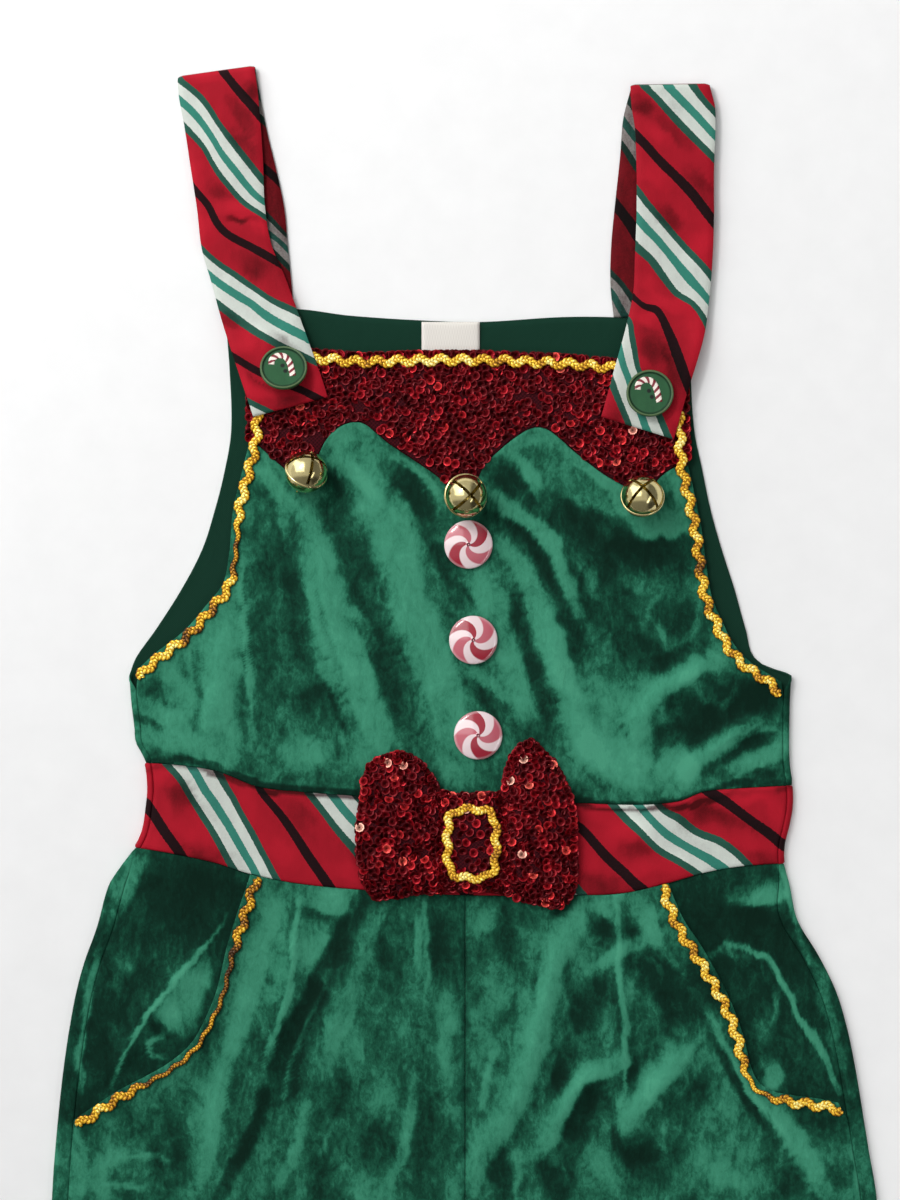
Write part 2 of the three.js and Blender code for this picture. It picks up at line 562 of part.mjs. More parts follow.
// Whether a point lies outside the mouth of a pocket, on the open side of its edge.
function pocketSide(sign, pocket, x, y) {
  const { share } = nearest(pocket, x, y);
  const i = Math.min(Math.floor(share * (pocket.length - 1)), pocket.length - 2);
  const [ax, ay] = pocket[i];
  const [bx, by] = pocket[i + 1];
  return sign * ((bx - ax) * (y - ay) - (by - ay) * (x - ax)) > 0;
}

// Front of the bib below the yoke: its top is the zigzag seam, its bottom the waist.
function frontBib() {
  const arms = [FRONT_ARM_LEFT, FRONT_ARM_RIGHT].map(alongCurve);
  const armRows = 8;
  const edges = arms.map((arm, k) => [
    ...Array.from({ length: armRows + 1 }, (_, r) => arm.getPointAt(r / armRows)), ...bibEdges[k]]);
  const last = edges[0].length - 1;
  return edges[0].map((left, r) => COLUMNS.map((u, c) => {
    const right = edges[1][r];
    const x = mix(left.x, right.x, u);
    const chord = (row) => mix(edges[0][row].y, edges[1][row].y, u);
    const fromTop = (YOKE_SEAM[c][1] - YOKE_GAP / 2 - chord(0)) * (1 - ease((r / last) * 1.35));
    const fromBottom = (bandTop(topStations[c]) + SEAM_GAP / 2 - chord(last)) * (r / last) ** 3;
    const y = chord(r) + fromTop + fromBottom;
    return new THREE.Vector3(x, y, bibHeight(x, y));
  }));
}

// Height of the bib: the front height, a little lower along the free armhole edges.
function bibHeight(x, y) {
  const paths = [FRONT_ARM_LEFT, FRONT_ARM_RIGHT];
  const toArm = Math.min(...paths.map((path) => nearest(path, x, y).distance));
  const arm = y > 90 ? 1 - ease(toArm / 12) : 0;
  const folds = foldHeight(FOLDS, x, y) * (1 - arm);
  const calm = mix(frontHeight(x, y), FRONT_LEVEL + folds, ease((y - 70) / 30));
  return calm - (FRONT_LEVEL - ARM_LEVEL) * arm;
}

// The sequinned yoke, from the top of the bib to the zigzag seam.
function yoke() {
  const down = 3;
  return Array.from({ length: down + 1 }, (_, r) => COLUMNS.map((u, c) => {
    const v = r / down;
    const topX = mix(BIB_TOP[0][0], BIB_TOP.at(-1)[0], u);
    const y = mix(bibTop(topX), YOKE_SEAM[c][1] + YOKE_GAP / 2, v);
    const edge = 1 - ease(Math.min(u, 1 - u) * 18);
    const level = mix(FRONT_LEVEL, ARM_LEVEL, edge);
    return new THREE.Vector3(mix(topX, YOKE_SEAM[c][0], v), y, level);
  }));
}

function frontBand() {
  return BAND_SHARES.map((share, r) => COLUMNS.map((u) => {
    const x = mix(bandEdges[0][r].x, bandEdges[1][r].x, u);
    const y = mix(bandTop(mix(topStations[0], topStations.at(-1), u)) - SEAM_GAP / 2,
      bandBottom(mix(bottomStations[0], bottomStations.at(-1), u)) + SEAM_GAP / 2, share);
    const toSide = Math.min(u, 1 - u) * (bandEdges[1][r].x - bandEdges[0][r].x);
    return new THREE.Vector3(x, y, mix(SIDE_LEVEL + 0.2, FRONT_LEVEL + 0.2, ease(toSide / 16)));
  }));
}

// A strap: front run, a turn over the top, and the run down to the back of the bib.
function strap(front, back) {
  const across = 4;
  const foldSteps = 6;
  const point = (row, t) => {
    const [x, y] = [mix(row.leftX, row.rightX, t), mix(row.leftY, row.rightY, t)];
    return new THREE.Vector3(x, y, row.height);
  };
  const top = front.at(-1);
  const radius = (top.height - back[0].height) / 2;
  const centre = back[0].height + radius;
  const foldRow = (angle, t, share) => {
    const [a, b] = [point(top, t), point(back[0], t)];
    const y = mix(a.y, b.y, share) + radius * Math.cos(angle);
    return new THREE.Vector3(mix(a.x, b.x, share), y, centre + radius * Math.sin(angle));
  };
  const shares = Array.from({ length: across + 1 }, (_, i) => i / across);
  const middle = front.map((row) => shares.map((t) => point(row, t)));
  for (let i = 1; i < foldSteps; i += 1) {
    const share = i / foldSteps;
    const angle = mix(Math.PI / 2, -Math.PI / 2, share);
    middle.push(shares.map((t) => foldRow(angle, t, share)));
  }
  back.forEach((row) => middle.push(shares.map((t) => point(row, t))));
  return middle;
}

// Height of the topmost cloth at a point, read from the faces of the panels themselves.
const topFaces = [];
function addTopFaces(middle, thickness) {
  const top = middle.map((row) => row.map((p) => [p.x, p.y, p.z + thickness / 2]));
  for (let r = 0; r < top.length - 1; r += 1) {
    for (let c = 0; c < top[0].length - 1; c += 1) {
      const [a, b, d, e] = [top[r][c], top[r][c + 1], top[r + 1][c], top[r + 1][c + 1]];
      topFaces.push([a, b, e], [a, e, d]);
    }
  }
}

function topAt(x, y) {
  let best = -Infinity;
  for (const [a, b, c] of topFaces) {
    const area = (b[0] - a[0]) * (c[1] - a[1]) - (c[0] - a[0]) * (b[1] - a[1]);
    const u = ((x - a[0]) * (c[1] - a[1]) - (c[0] - a[0]) * (y - a[1])) / area;
    const v = ((b[0] - a[0]) * (y - a[1]) - (x - a[0]) * (b[1] - a[1])) / area;
    if (u >= -1e-6 && v >= -1e-6 && u + v <= 1 + 1e-6) {
      best = Math.max(best, a[2] + u * (b[2] - a[2]) + v * (c[2] - a[2]));
    }
  }
  return best;
}

// Rickrack: a flat band that sways from side to side along a path, just above the cloth.
function rickrack(points, { sway = TRIM.sway, waves, loop = false, heightAt = topAt }) {
  const curve = alongCurve(points);
  if (loop) curve.closed = true;
  const length = curve.getLength();
  const count = waves ?? Math.round(length / TRIM.wave);
  const stations = count * TRIM.steps;
  const [outer, inner] = [[], []];
  const last = loop ? stations - 1 : stations;
  for (let i = 0; i <= last; i += 1) {
    const share = i / stations;
    const centre = curve.getPointAt(share);
    const tangent = curve.getTangentAt(share);
    const side = new THREE.Vector3(-tangent.y, tangent.x, 0);
    const offset = sway * Math.sin(2 * Math.PI * count * share);
    const edge = (d) => centre.clone().addScaledVector(side, offset + d);
    const spots = [-TRIM.width / 2, 0, TRIM.width / 2].map(edge);
    const beside = [-1.3, 1.3].flatMap((d) => spots.map((p) => p.clone().addScaledVector(tangent, d)));
    const base = Math.max(...[...spots, ...beside].map((p) => heightAt(p.x, p.y))) + SEAM_GAP + 0.05;
    outer.push([spots[0], spots[2]].map((p) => new THREE.Vector3(p.x, p.y, base + TRIM.thickness)));
    inner.push([spots[0], spots[2]].map((p) => new THREE.Vector3(p.x, p.y, base)));
  }
  return closedBody(outer, inner, loop);
}

// Moves a path sideways by a distance, to keep a trim inside the edge that it follows.
function inset(points, distance) {
  return points.map(([x, y], i) => {
    const [ax, ay] = points[Math.max(i - 1, 0)];
    const [bx, by] = points[Math.min(i + 1, points.length - 1)];
    const length = Math.hypot(bx - ax, by - ay);
    return [x - (distance * (by - ay)) / length, y + (distance * (bx - ax)) / length];
  });
}

// A loop of the bow: a crowned pillow over a plan between four edge curves.
function bowLoop(edges) {
  const [down, across] = [8, 7];
  const names = ['top', 'bottom', 'inner', 'outer'];
  const [top, bottom, inner, outer] = names.map((name) => alongCurve(edges[name]));
  const [topLeft, topRight] = [top.getPointAt(0), top.getPointAt(1)];
  const [bottomLeft, bottomRight] = [bottom.getPointAt(0), bottom.getPointAt(1)];
  const grids = [[], []];
  for (let r = 0; r <= down; r += 1) {
    grids.forEach((grid) => grid.push([]));
    const v = r / down;
    for (let c = 0; c <= across; c += 1) {
      const u = c / across;
      const [T, B] = [top.getPointAt(u), bottom.getPointAt(u)];
      const [I, O] = [inner.getPointAt(v), outer.getPointAt(v)];
      const [x, y] = ['x', 'y'].map((k) => {
        const corner = mix(mix(topLeft[k], topRight[k], u), mix(bottomLeft[k], bottomRight[k], u), v);
        return mix(T[k], B[k], v) + mix(I[k], O[k], u) - corner;
      });
      const arch = (t) => Math.sin(Math.PI * t);
      const crown = Math.sqrt(arch(mix(0.22, 0.94, u)) * arch(mix(0.06, 0.94, v)));
      const gathers = 0.9 * Math.cos(v * Math.PI * 5) * (1 - u) ** 1.5;
      grids[0].at(-1).push(new THREE.Vector3(x, y, BOW_LEVEL + 2.2 + 5.6 * crown + gathers));
      grids[1].at(-1).push(new THREE.Vector3(x, y, BOW_LEVEL));
    }
  }
  return closedBody(grids[0], grids[1]);
}

// Height of the knot's crowned top.
function knotTop(x, y) {
  const dx = Math.min(Math.abs(x - KNOT.x) / KNOT.halfWidth, 1);
  const dy = Math.min(Math.abs(y - KNOT.y) / KNOT.halfLength, 1);
  const round = Math.sqrt(Math.max(1 - dx ** 4, 0) * Math.max(1 - dy ** 4, 0));
  return BOW_LEVEL + KNOT.edge + (KNOT.height - KNOT.edge) * round;
}

function knot() {
  const [down, across] = [8, 6];
  const grids = [[], []];
  for (let r = 0; r <= down; r += 1) {
    grids.forEach((grid) => grid.push([]));
    for (let c = 0; c <= across; c += 1) {
      const x = KNOT.x + KNOT.halfWidth * Math.sin((Math.PI / 2) * mix(-1, 1, c / across));
      const waist = 1 - 0.05 * Math.cos(Math.PI * mix(-0.5, 0.5, c / across));
      const y = KNOT.y + KNOT.halfLength * waist * Math.sin((Math.PI / 2) * mix(1, -1, r / down));
      grids[0].at(-1).push(new THREE.Vector3(x, y, knotTop(x, y)));
      grids[1].at(-1).push(new THREE.Vector3(x, y, BOW_LEVEL));
    }
  }
  return closedBody(grids[0], grids[1]);
}

// The buckle's path: a rectangle with round corners.
function buckleFrame() {
  const { x, y, halfWidth: w, halfLength: l, corner: k } = BUCKLE;
  const points = [];
  [[1, 1, 0], [-1, 1, 90], [-1, -1, 180], [1, -1, 270]].forEach(([sx, sy, start]) => {
    for (let i = 0; i <= 3; i += 1) {
      const a = THREE.MathUtils.degToRad(start + i * 30);
      points.push([x + sx * (w - k) + k * Math.cos(a), y + sy * (l - k) + k * Math.sin(a)]);
    }
  });
  return points;
}

// A body turned round the Z axis from rows of [radius, height].
function turnedBody(profile, segments) {
  const lathe = new THREE.LatheGeometry(profile.map(([r, z]) => new THREE.Vector2(r, z)), segments);
  lathe.rotateX(Math.PI / 2);
  return lathe;
}

// Between three.js meshes and solids that can be joined and cut.
function toSolid(geometry) {
  const bare = geometry.clone();
  bare.deleteAttribute('normal');
  bare.deleteAttribute('uv');
  const merged = mergeVertices(bare, 1e-4);
  const index = [];
  const at = merged.index.array;
  for (let i = 0; i < at.length; i += 3) {
    const [a, b, c] = [at[i], at[i + 1], at[i + 2]];
    if (a !== b && b !== c && a !== c) index.push(a, b, c);
  }
  const vertProperties = Float32Array.from(merged.attributes.position.array);
  const triVerts = Uint32Array.from(volume(vertProperties, index) < 0 ? turned(index) : index);
  return new wasm.Manifold(new wasm.Mesh({ numProp: 3, vertProperties, triVerts }));
}

function toGeometry(solid) {
  const { numProp, vertProperties, triVerts } = solid.getMesh();
  const positions = [];
  for (let i = 0; i < vertProperties.length; i += numProp) {
    positions.push(...vertProperties.slice(i, i + 3));
  }
  const geometry = new THREE.BufferGeometry();
  geometry.setAttribute('position', new THREE.Float32BufferAttribute(positions, 3));
  geometry.setIndex(Array.from(triVerts));
  geometry.computeVertexNormals();
  return geometry;
}

// A peppermint button: flat behind, domed in front, with a rounded edge.
function mint() {
  const { radius, height, rim } = MINT;
  const profile = [[0, 0], [radius - 0.8, 0], [radius, 0.9], [radius, rim], [radius - 0.9, rim + 0.9]];
  for (let i = 1; i <= 3; i += 1) {
    const r = (radius - 0.9) * (1 - i / 3);
    profile.push([r, rim + 0.9 + (height - rim - 0.9) * (1 - (r / (radius - 0.9)) ** 2)]);
  }
  return toGeometry(toSolid(turnedBody(profile, 24)));
}

// A two-hole button with a raised rim round a shallow dish.
function button() {
  const { radius, height, rim, dish, hole, holeOffset } = BUTTON;
  const profile = [
    [0, 0], [radius - 1.2, 0], [radius, 1], [radius, height - 0.6], [radius - 0.6, height],
    [radius - rim, height], [radius - rim - 0.8, height - dish], [0, height - dish],
  ];
  const disc = toSolid(turnedBody(profile, 24));
  const drill = new THREE.CylinderGeometry(hole, hole, height * 3, 8).rotateX(Math.PI / 2);
  const holes = [1, -1].map((side) => toSolid(drill.clone().translate(0, side * holeOffset, 0)));
  return toGeometry(holes.reduce((body, cut) => body.subtract(cut), disc));
}

// A jingle bell: a thin shell with a bead round its middle, a cross of slots in the far
// half and a wire eye on the near one. The eye's centre is the origin, the bell above it.
function bellShell(spin) {
  const { radius, wall, bead, slot, slotTop } = BELL;
  const round = (r, waist) => Array.from({ length: 9 }, (_, i) => THREE.MathUtils.degToRad(-90 + i * 22.5))
    .flatMap((a, i) => (i === 4 ? waist : [[i % 8 ? r * Math.cos(a) : 0, r * Math.sin(a)]]));
  const rim = [[radius, -0.9], [bead, -0.5], [bead, 0.5], [radius, 0.9]];
  const shell = toSolid(turnedBody(round(radius, rim), 16));
  const hollow = toSolid(turnedBody(round(radius - wall, [[radius - wall, 0]]), 16));
  const cuts = [0, 90].map((turn) => {
    const box = new THREE.BoxGeometry(slot, radius * 3, radius * 2);
    box.translate(0, 0, radius + slotTop);
    box.rotateZ(THREE.MathUtils.degToRad(turn));
    return toSolid(box);
  });
  const slotted = cuts.reduce((body, cut) => body.subtract(cut), shell.subtract(hollow));
  const eye = new THREE.TorusGeometry(EYE.ring, EYE.wire, 6, 12).rotateY(Math.PI / 2);
  const placed = toGeometry(slotted);
  placed.rotateZ(THREE.MathUtils.degToRad(spin));
  placed.translate(0, 0, EYE.reach);
  return toGeometry(toSolid(placed).add(toSolid(eye)));
}

// The loop of thread that holds a bell: an arch along X that stands on the cloth.
function threadLoop() {
  const { radius, height, spread } = THREAD;
  const steps = 6;
  const sides = 6;
  const rings = [];
  for (let i = 0; i <= steps; i += 1) {
    const a = Math.PI * (i / steps);
    const [x, z] = [-spread * Math.cos(a), height * Math.sin(a)];
    const along = new THREE.Vector3(spread * Math.sin(a), 0, height * Math.cos(a)).normalize();
    const out = new THREE.Vector3(-along.z, 0, along.x);
    const ring = [];
    for (let k = 0; k < sides; k += 1) {
      const b = (2 * Math.PI * k) / sides;
      ring.push(new THREE.Vector3(x, radius * Math.sin(b), z).addScaledVector(out, radius * Math.cos(b)));
    }
    rings.push(ring);
  }
  const positions = rings.flat().flatMap((p) => [p.x, p.y, p.z]);
  const index = [];
  for (let i = 0; i < steps; i += 1) {
    for (let k = 0; k < sides; k += 1) {
      const [a, b] = [i * sides + k, i * sides + ((k + 1) % sides)];
      index.push(a, b, b + sides, a, b + sides, a + sides);
    }
  }
  for (let k = 1; k < sides - 1; k += 1) {
    const end = steps * sides;
    index.push(0, k + 1, k, end, end + k, end + k + 1);
  }
  const geometry = new THREE.BufferGeometry();
  geometry.setAttribute('position', new THREE.Float32BufferAttribute(positions, 3));
  geometry.setIndex(volume(positions, index) < 0 ? turned(index) : index);
  return geometry;
}

// Height at which the centre of a tilted flat disc just clears what lies under it.
function restHeight(x, y, radius, tilt = 0) {
  const lean = THREE.MathUtils.degToRad(tilt);
  let best = topAt(x, y);
  for (const share of [0.4, 0.75, 1]) {
    for (let k = 0; k < 16; k += 1) {
      const a = (2 * Math.PI * k) / 16;
      const [dx, dy] = [radius * share * Math.cos(a), radius * share * Math.sin(a)];
      best = Math.max(best, topAt(x + dx, y + dy * Math.cos(lean)) + dy * Math.sin(lean));
    }
  }
  return best + SEAM_GAP;
}

// Back layer.
addPiece('back_bib', clothWall(backs.bib, VELVET, true), 'lining');
addPiece('back_waistband', clothWall(backs.band, BAND, true), 'stripe');
addPiece('back_leg_left', clothWall(backs.left, VELVET, true), 'velvet');
addPiece('back_leg_right', clothWall(backs.right, VELVET, true), 'velvet');

// Front layer. What lies on it later reads its height from these same panels.
const panels = [
  ['hip_panel_left', hipPanel(-1, POCKET_LEFT, backs.left), VELVET, 'velvet'],
  ['hip_panel_right', hipPanel(1, POCKET_RIGHT, backs.right), VELVET, 'velvet'],
  ['front_leg_left', frontLeg(-1, POCKET_LEFT, backs.left), VELVET, 'velvet'],
  ['front_leg_right', frontLeg(1, POCKET_RIGHT, backs.right), VELVET, 'velvet'],
  ['front_waistband', frontBand(), BAND, 'stripe'],
  ['front_bib', frontBib(), VELVET, 'velvet'],
  ['sequin_yoke', yoke(), SEQUIN_CLOTH, 'sequin'],
];
panels.forEach(([name, middle, thickness, finish]) => {
  addPiece(name, levelWall(middle, thickness), finish);
  addTopFaces(middle, thickness);
});

// The neck label: a loop of satin ribbon sewn inside the top of the back.
const label = new THREE.BoxGeometry(LABEL.width, LABEL.width, LABEL.thickness);
label.translate(LABEL.x, LABEL.y, VELVET + SEAM_GAP + LABEL.thickness / 2);
addPiece('neck_label', label, 'satin');

// Rickrack along the edges.
const topTrim = [
  [-122, 296], [-89, 295], [-63, 293], [-25, 294], [11, 294], [61, 292], [98, 289], [129, 287],
];
addPiece('bib_top_trim', rickrack(topTrim, {}), 'goldTrim');
const armLeft = [[-131, 276], [-131, 258], ...FRONT_ARM_LEFT, [-202.5, 99]];
const armRight = [[138, 262], [139, 246], ...FRONT_ARM_RIGHT.slice(0, -1), [200, 91]];
addPiece('armhole_trim_left', rickrack(inset(armLeft, TRIM.inset), {}), 'goldTrim');
addPiece('armhole_trim_right', rickrack(inset(armRight, -TRIM.inset), {}), 'goldTrim');
addPiece('pocket_trim_left', rickrack(inset(POCKET_LEFT, TRIM.inset), {}), 'goldTrim');
addPiece('pocket_trim_right', rickrack(inset(POCKET_RIGHT, -TRIM.inset), {}), 'goldTrim');

// The bow with its knot and buckle.
addPiece('bow_loop_left', bowLoop(BOW_LEFT), 'sequin');
addPiece('bow_loop_right', bowLoop(BOW_RIGHT), 'sequin');
addPiece('bow_knot', knot(), 'sequin');
const frame = buckleFrame();
const buckleOptions = { sway: BUCKLE.sway, waves: BUCKLE.waves, loop: true, heightAt: knotTop };
addPiece('bow_buckle_trim', rickrack(frame, buckleOptions), 'goldTrim');

// Straps, and the buttons that rest on their ends.
const straps = {
  strap_left: [STRAP_FRONT_LEFT, STRAP_BACK_LEFT],
  strap_right: [STRAP_FRONT_RIGHT, STRAP_BACK_RIGHT],
};
Object.entries(straps).forEach(([name, [front, back]]) => {
  const middle = strap(front, back);
  addPiece(name, clothWall(middle, STRAP), 'stripe');
  addTopFaces(middle.slice(0, front.length), STRAP);
});

// Peppermint buttons, flat on the bib.
MINTS.forEach(({ name, x, y, turn }) => {
  const piece = addPiece(name, mint(), 'mint');
  piece.rotation.z = THREE.MathUtils.degToRad(turn);
  piece.position.set(x, y, restHeight(x, y, MINT.radius));
});

// Strap buttons, which tip a little on their thread, away from the viewer's side.
STRAP_BUTTONS.forEach(({ name, x, y, tilt }) => {
  const piece = addPiece(name, button(), 'button');
  piece.rotation.x = THREE.MathUtils.degToRad(-tilt);
  piece.position.set(x, y, restHeight(x, y, BUTTON.radius - 0.9, tilt));
});

// Bells: each tips on the loop of thread through its eye.
BELLS.forEach(({ side, x, y, bearing, tilt, spin }) => {
  const holder = new THREE.Group();
  const across = THREE.MathUtils.degToRad(bearing - 90);
  const feet = [-THREAD.spread, THREAD.spread].map((d) => {
    return [x + d * Math.cos(across), y + d * Math.sin(across)];
  });
  const base = Math.max(...feet.map(([fx, fy]) => restHeight(fx, fy, THREAD.radius)));
  holder.position.set(x, y, base);
  holder.rotation.z = across;
  const loop = addPiece(`bell_thread_${side}`, threadLoop(), 'thread');
  const lean = new THREE.Group();
  lean.position.z = THREAD.height;
  lean.rotation.x = THREE.MathUtils.degToRad(-tilt);
  lean.add(addPiece(`bell_${side}`, bellShell(spin), 'brass'));
  const pellet = addPiece(`bell_pellet_${side}`, new THREE.SphereGeometry(BELL.pellet, 10, 6), 'brass');
  const drop = BELL.radius - BELL.wall - BELL.pellet - 2 * SEAM_GAP;
  const angle = THREE.MathUtils.degToRad(tilt);
  pellet.position.set(0, drop * Math.sin(angle), EYE.reach - drop * Math.cos(angle));
  lean.add(pellet);
  holder.add(loop, lean);
  group.add(holder);
});

export default group;
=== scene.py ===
# Festive elf dungarees in crushed green velvet, laid flat, dressed over their CAD frame.
#
# Shapes are worked out in millimetres in the frame's own axes: +X to the viewer's right, +Y from
# the waist towards the straps, +Z up from the surface. Left and right are the viewer's.
import json
import math

import bpy
import numpy as np
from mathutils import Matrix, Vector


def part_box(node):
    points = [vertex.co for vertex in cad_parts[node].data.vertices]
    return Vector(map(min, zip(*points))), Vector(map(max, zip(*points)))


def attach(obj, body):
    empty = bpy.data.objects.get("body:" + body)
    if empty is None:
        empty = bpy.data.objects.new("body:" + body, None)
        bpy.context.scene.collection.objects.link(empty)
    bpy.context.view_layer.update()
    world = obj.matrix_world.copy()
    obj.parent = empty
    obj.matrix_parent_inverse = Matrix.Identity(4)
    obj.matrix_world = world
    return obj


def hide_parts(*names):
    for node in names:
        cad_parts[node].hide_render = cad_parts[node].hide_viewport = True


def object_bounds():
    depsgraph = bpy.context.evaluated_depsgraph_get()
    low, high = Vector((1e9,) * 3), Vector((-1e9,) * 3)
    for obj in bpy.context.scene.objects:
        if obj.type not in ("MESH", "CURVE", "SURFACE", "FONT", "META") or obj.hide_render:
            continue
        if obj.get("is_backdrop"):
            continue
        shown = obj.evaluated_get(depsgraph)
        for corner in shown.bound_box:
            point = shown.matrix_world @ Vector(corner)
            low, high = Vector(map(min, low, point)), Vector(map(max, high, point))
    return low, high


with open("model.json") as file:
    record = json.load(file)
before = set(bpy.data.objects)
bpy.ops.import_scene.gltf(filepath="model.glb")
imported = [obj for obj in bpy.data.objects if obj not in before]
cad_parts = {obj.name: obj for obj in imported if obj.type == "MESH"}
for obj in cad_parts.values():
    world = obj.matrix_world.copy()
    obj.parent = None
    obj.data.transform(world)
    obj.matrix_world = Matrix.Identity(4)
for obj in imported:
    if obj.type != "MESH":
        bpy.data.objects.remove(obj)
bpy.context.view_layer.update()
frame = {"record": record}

MM = 0.001

# Sizes of the cloth and its layers, as the frame has them.
VELVET = 1.6
BAND = 2.4
STRAP = 2.6
SEQUIN_CLOTH = 2.0
FRONT_LEVEL = 5.0
SIDE_LEVEL = 4.0
ARM_LEVEL = 4.6
SIDE_FALL = 22
POCKET_LIFT = 1.7
POCKET_LEVEL = 3.4
SEAM = 0.08  # half of the groove between two panels sewn together
BODY_LIP = 4
LEG_LIP = 10
INSEAM_LIP = 4
CENTRE_X = 2
CROTCH_Y = -330
WAIST_FRONT_Y = -37
HEM_Y = -994
FINE = 2.0  # spacing of the points of cloth that the photo shows
EDGE_STATIONS = (0.0, 0.35, 1.0)  # how far a panel's first lines of points lie from its edge
LEAST_RIM = 0.08  # share of its edge's reach that keeps a panel's rim from closing to nothing
# Even levels that rows of points start from, before they are bent to the seams.
BACK_TOP_LEVEL = 325
UNDERARM = 99
BIB_FOOT, BIB_BEND = 40, 46
BAND_TOP, BAND_FOOT = 42, -9
LEG_TOP = -8
POCKET_FOOT = -176
HALF_WAIST = 203

# Outlines as rows of (y, x), the same as the frame's.
SIDE_LEFT = [
    (99, -206), (84, -205), (65, -203), (53, -202), (43, -197), (28, -195), (16, -196),
    (3, -198), (-7, -202), (-22, -212), (-34, -219), (-59, -226), (-84, -235), (-108, -241),
    (-146, -247), (-195, -252), (-226, -254), (-300, -256), (-500, -252), (-750, -249), (-994, -247),
]
SIDE_RIGHT = [
    (99, 204), (78, 203), (53, 203), (40, 205), (28, 205), (16, 203), (3, 200), (-9, 200),
    (-22, 203), (-46, 208), (-71, 221), (-96, 232), (-121, 239), (-146, 244), (-170, 248),
    (-195, 252), (-226, 257), (-300, 260), (-500, 256), (-750, 253), (-994, 251),
]
BACK_ARM_LEFT = [
    (99, -206), (110, -202), (127, -190), (152, -174), (177, -161), (202, -153), (226, -147),
    (251, -143), (288, -144), (325, -147),
]
BACK_ARM_RIGHT = [
    (99, 204), (108, 183), (127, 176), (152, 169), (177, 161), (202, 154), (226, 149),
    (251, 144), (288, 142), (325, 143),
]
INSEAM = [
    (-330, 0.4), (-345, 4), (-370, 10), (-420, 18), (-500, 26), (-650, 35), (-800, 42), (-994, 48),
]
# Seams across the body and edges in plan, as rows of (x, y).
WAIST_TOP = [
    (-206, 45), (-181, 44), (-153, 40), (-126, 30), (-100, 27), (-57, 24), (2, 21), (70, 20),
    (110, 19), (134, 21), (150, 27), (170, 29), (206, 31),
]
WAIST_BOTTOM = [
    (-206, -7), (-181, -11), (-153, -17), (-131, -24), (-100, -30), (-57, -34), (2, -37), (67, -37),
    (98, -36), (126, -30), (151, -23), (175, -19), (206, -17),
]
BIB_TOP = [(-131, 301), (-89, 299), (-63, 297), (-25, 298), (11, 298), (61, 296), (98, 293), (138, 291)]
BACK_TOP = [(-147, 325), (-102, 326), (-70, 322), (-25, 319), (11, 318), (61, 321), (93, 321), (143, 319)]
YOKE_SEAM = [
    (-132, 242), (-126, 241), (-118, 234), (-110, 227), (-100, 217), (-91, 231), (-84, 245),
    (-77, 252), (-69, 255.5), (-61, 255), (-53, 249), (-46, 243), (-31, 233), (-15, 222), (2, 208),
    (14, 229), (24, 239), (34, 247), (43, 252), (51, 252), (59, 247), (69, 238), (87, 224),
    (99, 217), (112, 209), (122, 221), (132, 228), (140, 229),
]
FRONT_ARM_LEFT = [
    (-132, 242), (-137, 222), (-142, 200), (-144, 176), (-148, 156), (-158, 143), (-172, 127),
    (-190, 113), (-200, 104),
]
FRONT_ARM_RIGHT = [
    (140, 229), (145, 207), (149, 186), (151, 170), (155, 147), (161, 133), (168, 119), (179, 107),
    (190, 100), (198, 95),
]
POCKET_LEFT = [
    (-131, -25), (-135, -38), (-141, -57), (-146, -74), (-152, -98), (-159, -114), (-168, -129),
    (-182, -141), (-196, -149), (-213, -158), (-227, -167), (-240, -176),
]
POCKET_RIGHT = [
    (128, -30), (132, -42), (138, -56), (147, -70), (155, -83), (163, -97), (170, -112), (175, -127),
    (178.5, -142), (184, -153), (194, -158.5), (207, -161), (222, -163), (235.8, -166),
]

# The main folds of the front, the same as the frame's: half width, height and path.
FOLDS = [
    (7, 2.2, [(-99, -36), (-110, -102), (-128, -170), (-140, -215)]),
    (7, 2.4, [(96, -36), (98, -102), (100, -186)]),
    (10, 3.0, [(141, -131), (120, -160), (100, -188)]),
    (10, 2.8, [(84, -52), (58, -74), (47, -118), (34, -161), (2, -212)]),
    (9, 2.6, [(94, -136), (66, -162), (47, -200)]),
    (9, 2.0, [(-56, -56), (-67, -80), (-88, -136), (-96, -190)]),
    (8, 1.5, [(-25, -58), (-28, -110), (-33, -170)]),
    (13, 2.2, [(-52, 185), (-37, 135), (-16, 96)]),
    (12, 2.0, [(-92, 190), (-89, 120), (-67, 84)]),
    (11, 2.4, [(-146, 128), (-150, 92), (-156, 62)]),
    (13, 2.3, [(38, 190), (62, 150), (58, 100), (76, 66)]),
    (9, 2.6, [(156, 106), (126, 88), (106, 64)]),
    (8, 2.2, [(186, 70), (168, 62), (150, 48)]),
    (13, 3.2, [(-40, -262), (-92, -300), (-168, -330)]),
    (14, 3.2, [(34, -250), (96, -306), (176, -352)]),
    (15, 2.6, [(-150, -380), (-138, -560), (-144, -760)]),
    (15, 2.8, [(146, -400), (158, -600), (148, -820)]),
    (12, 3.0, [(-60, -470), (-112, -520), (-190, -540)]),
    (12, 3.0, [(220, -500), (150, -548), (80, -560)]),
    (14, 2.2, [(-90, -800), (-100, -900), (-96, -980)]),
    (14, 2.2, [(100, -780), (108, -890), (98, -980)]),
]
HIP_FOLDS = [
    (8, 1.6, [(-148, -58), (-176, -90), (-200, -124), (-216, -150)]),
    (8, 1.4, [(160, -74), (186, -80), (206, -104), (226, -150)]),
]

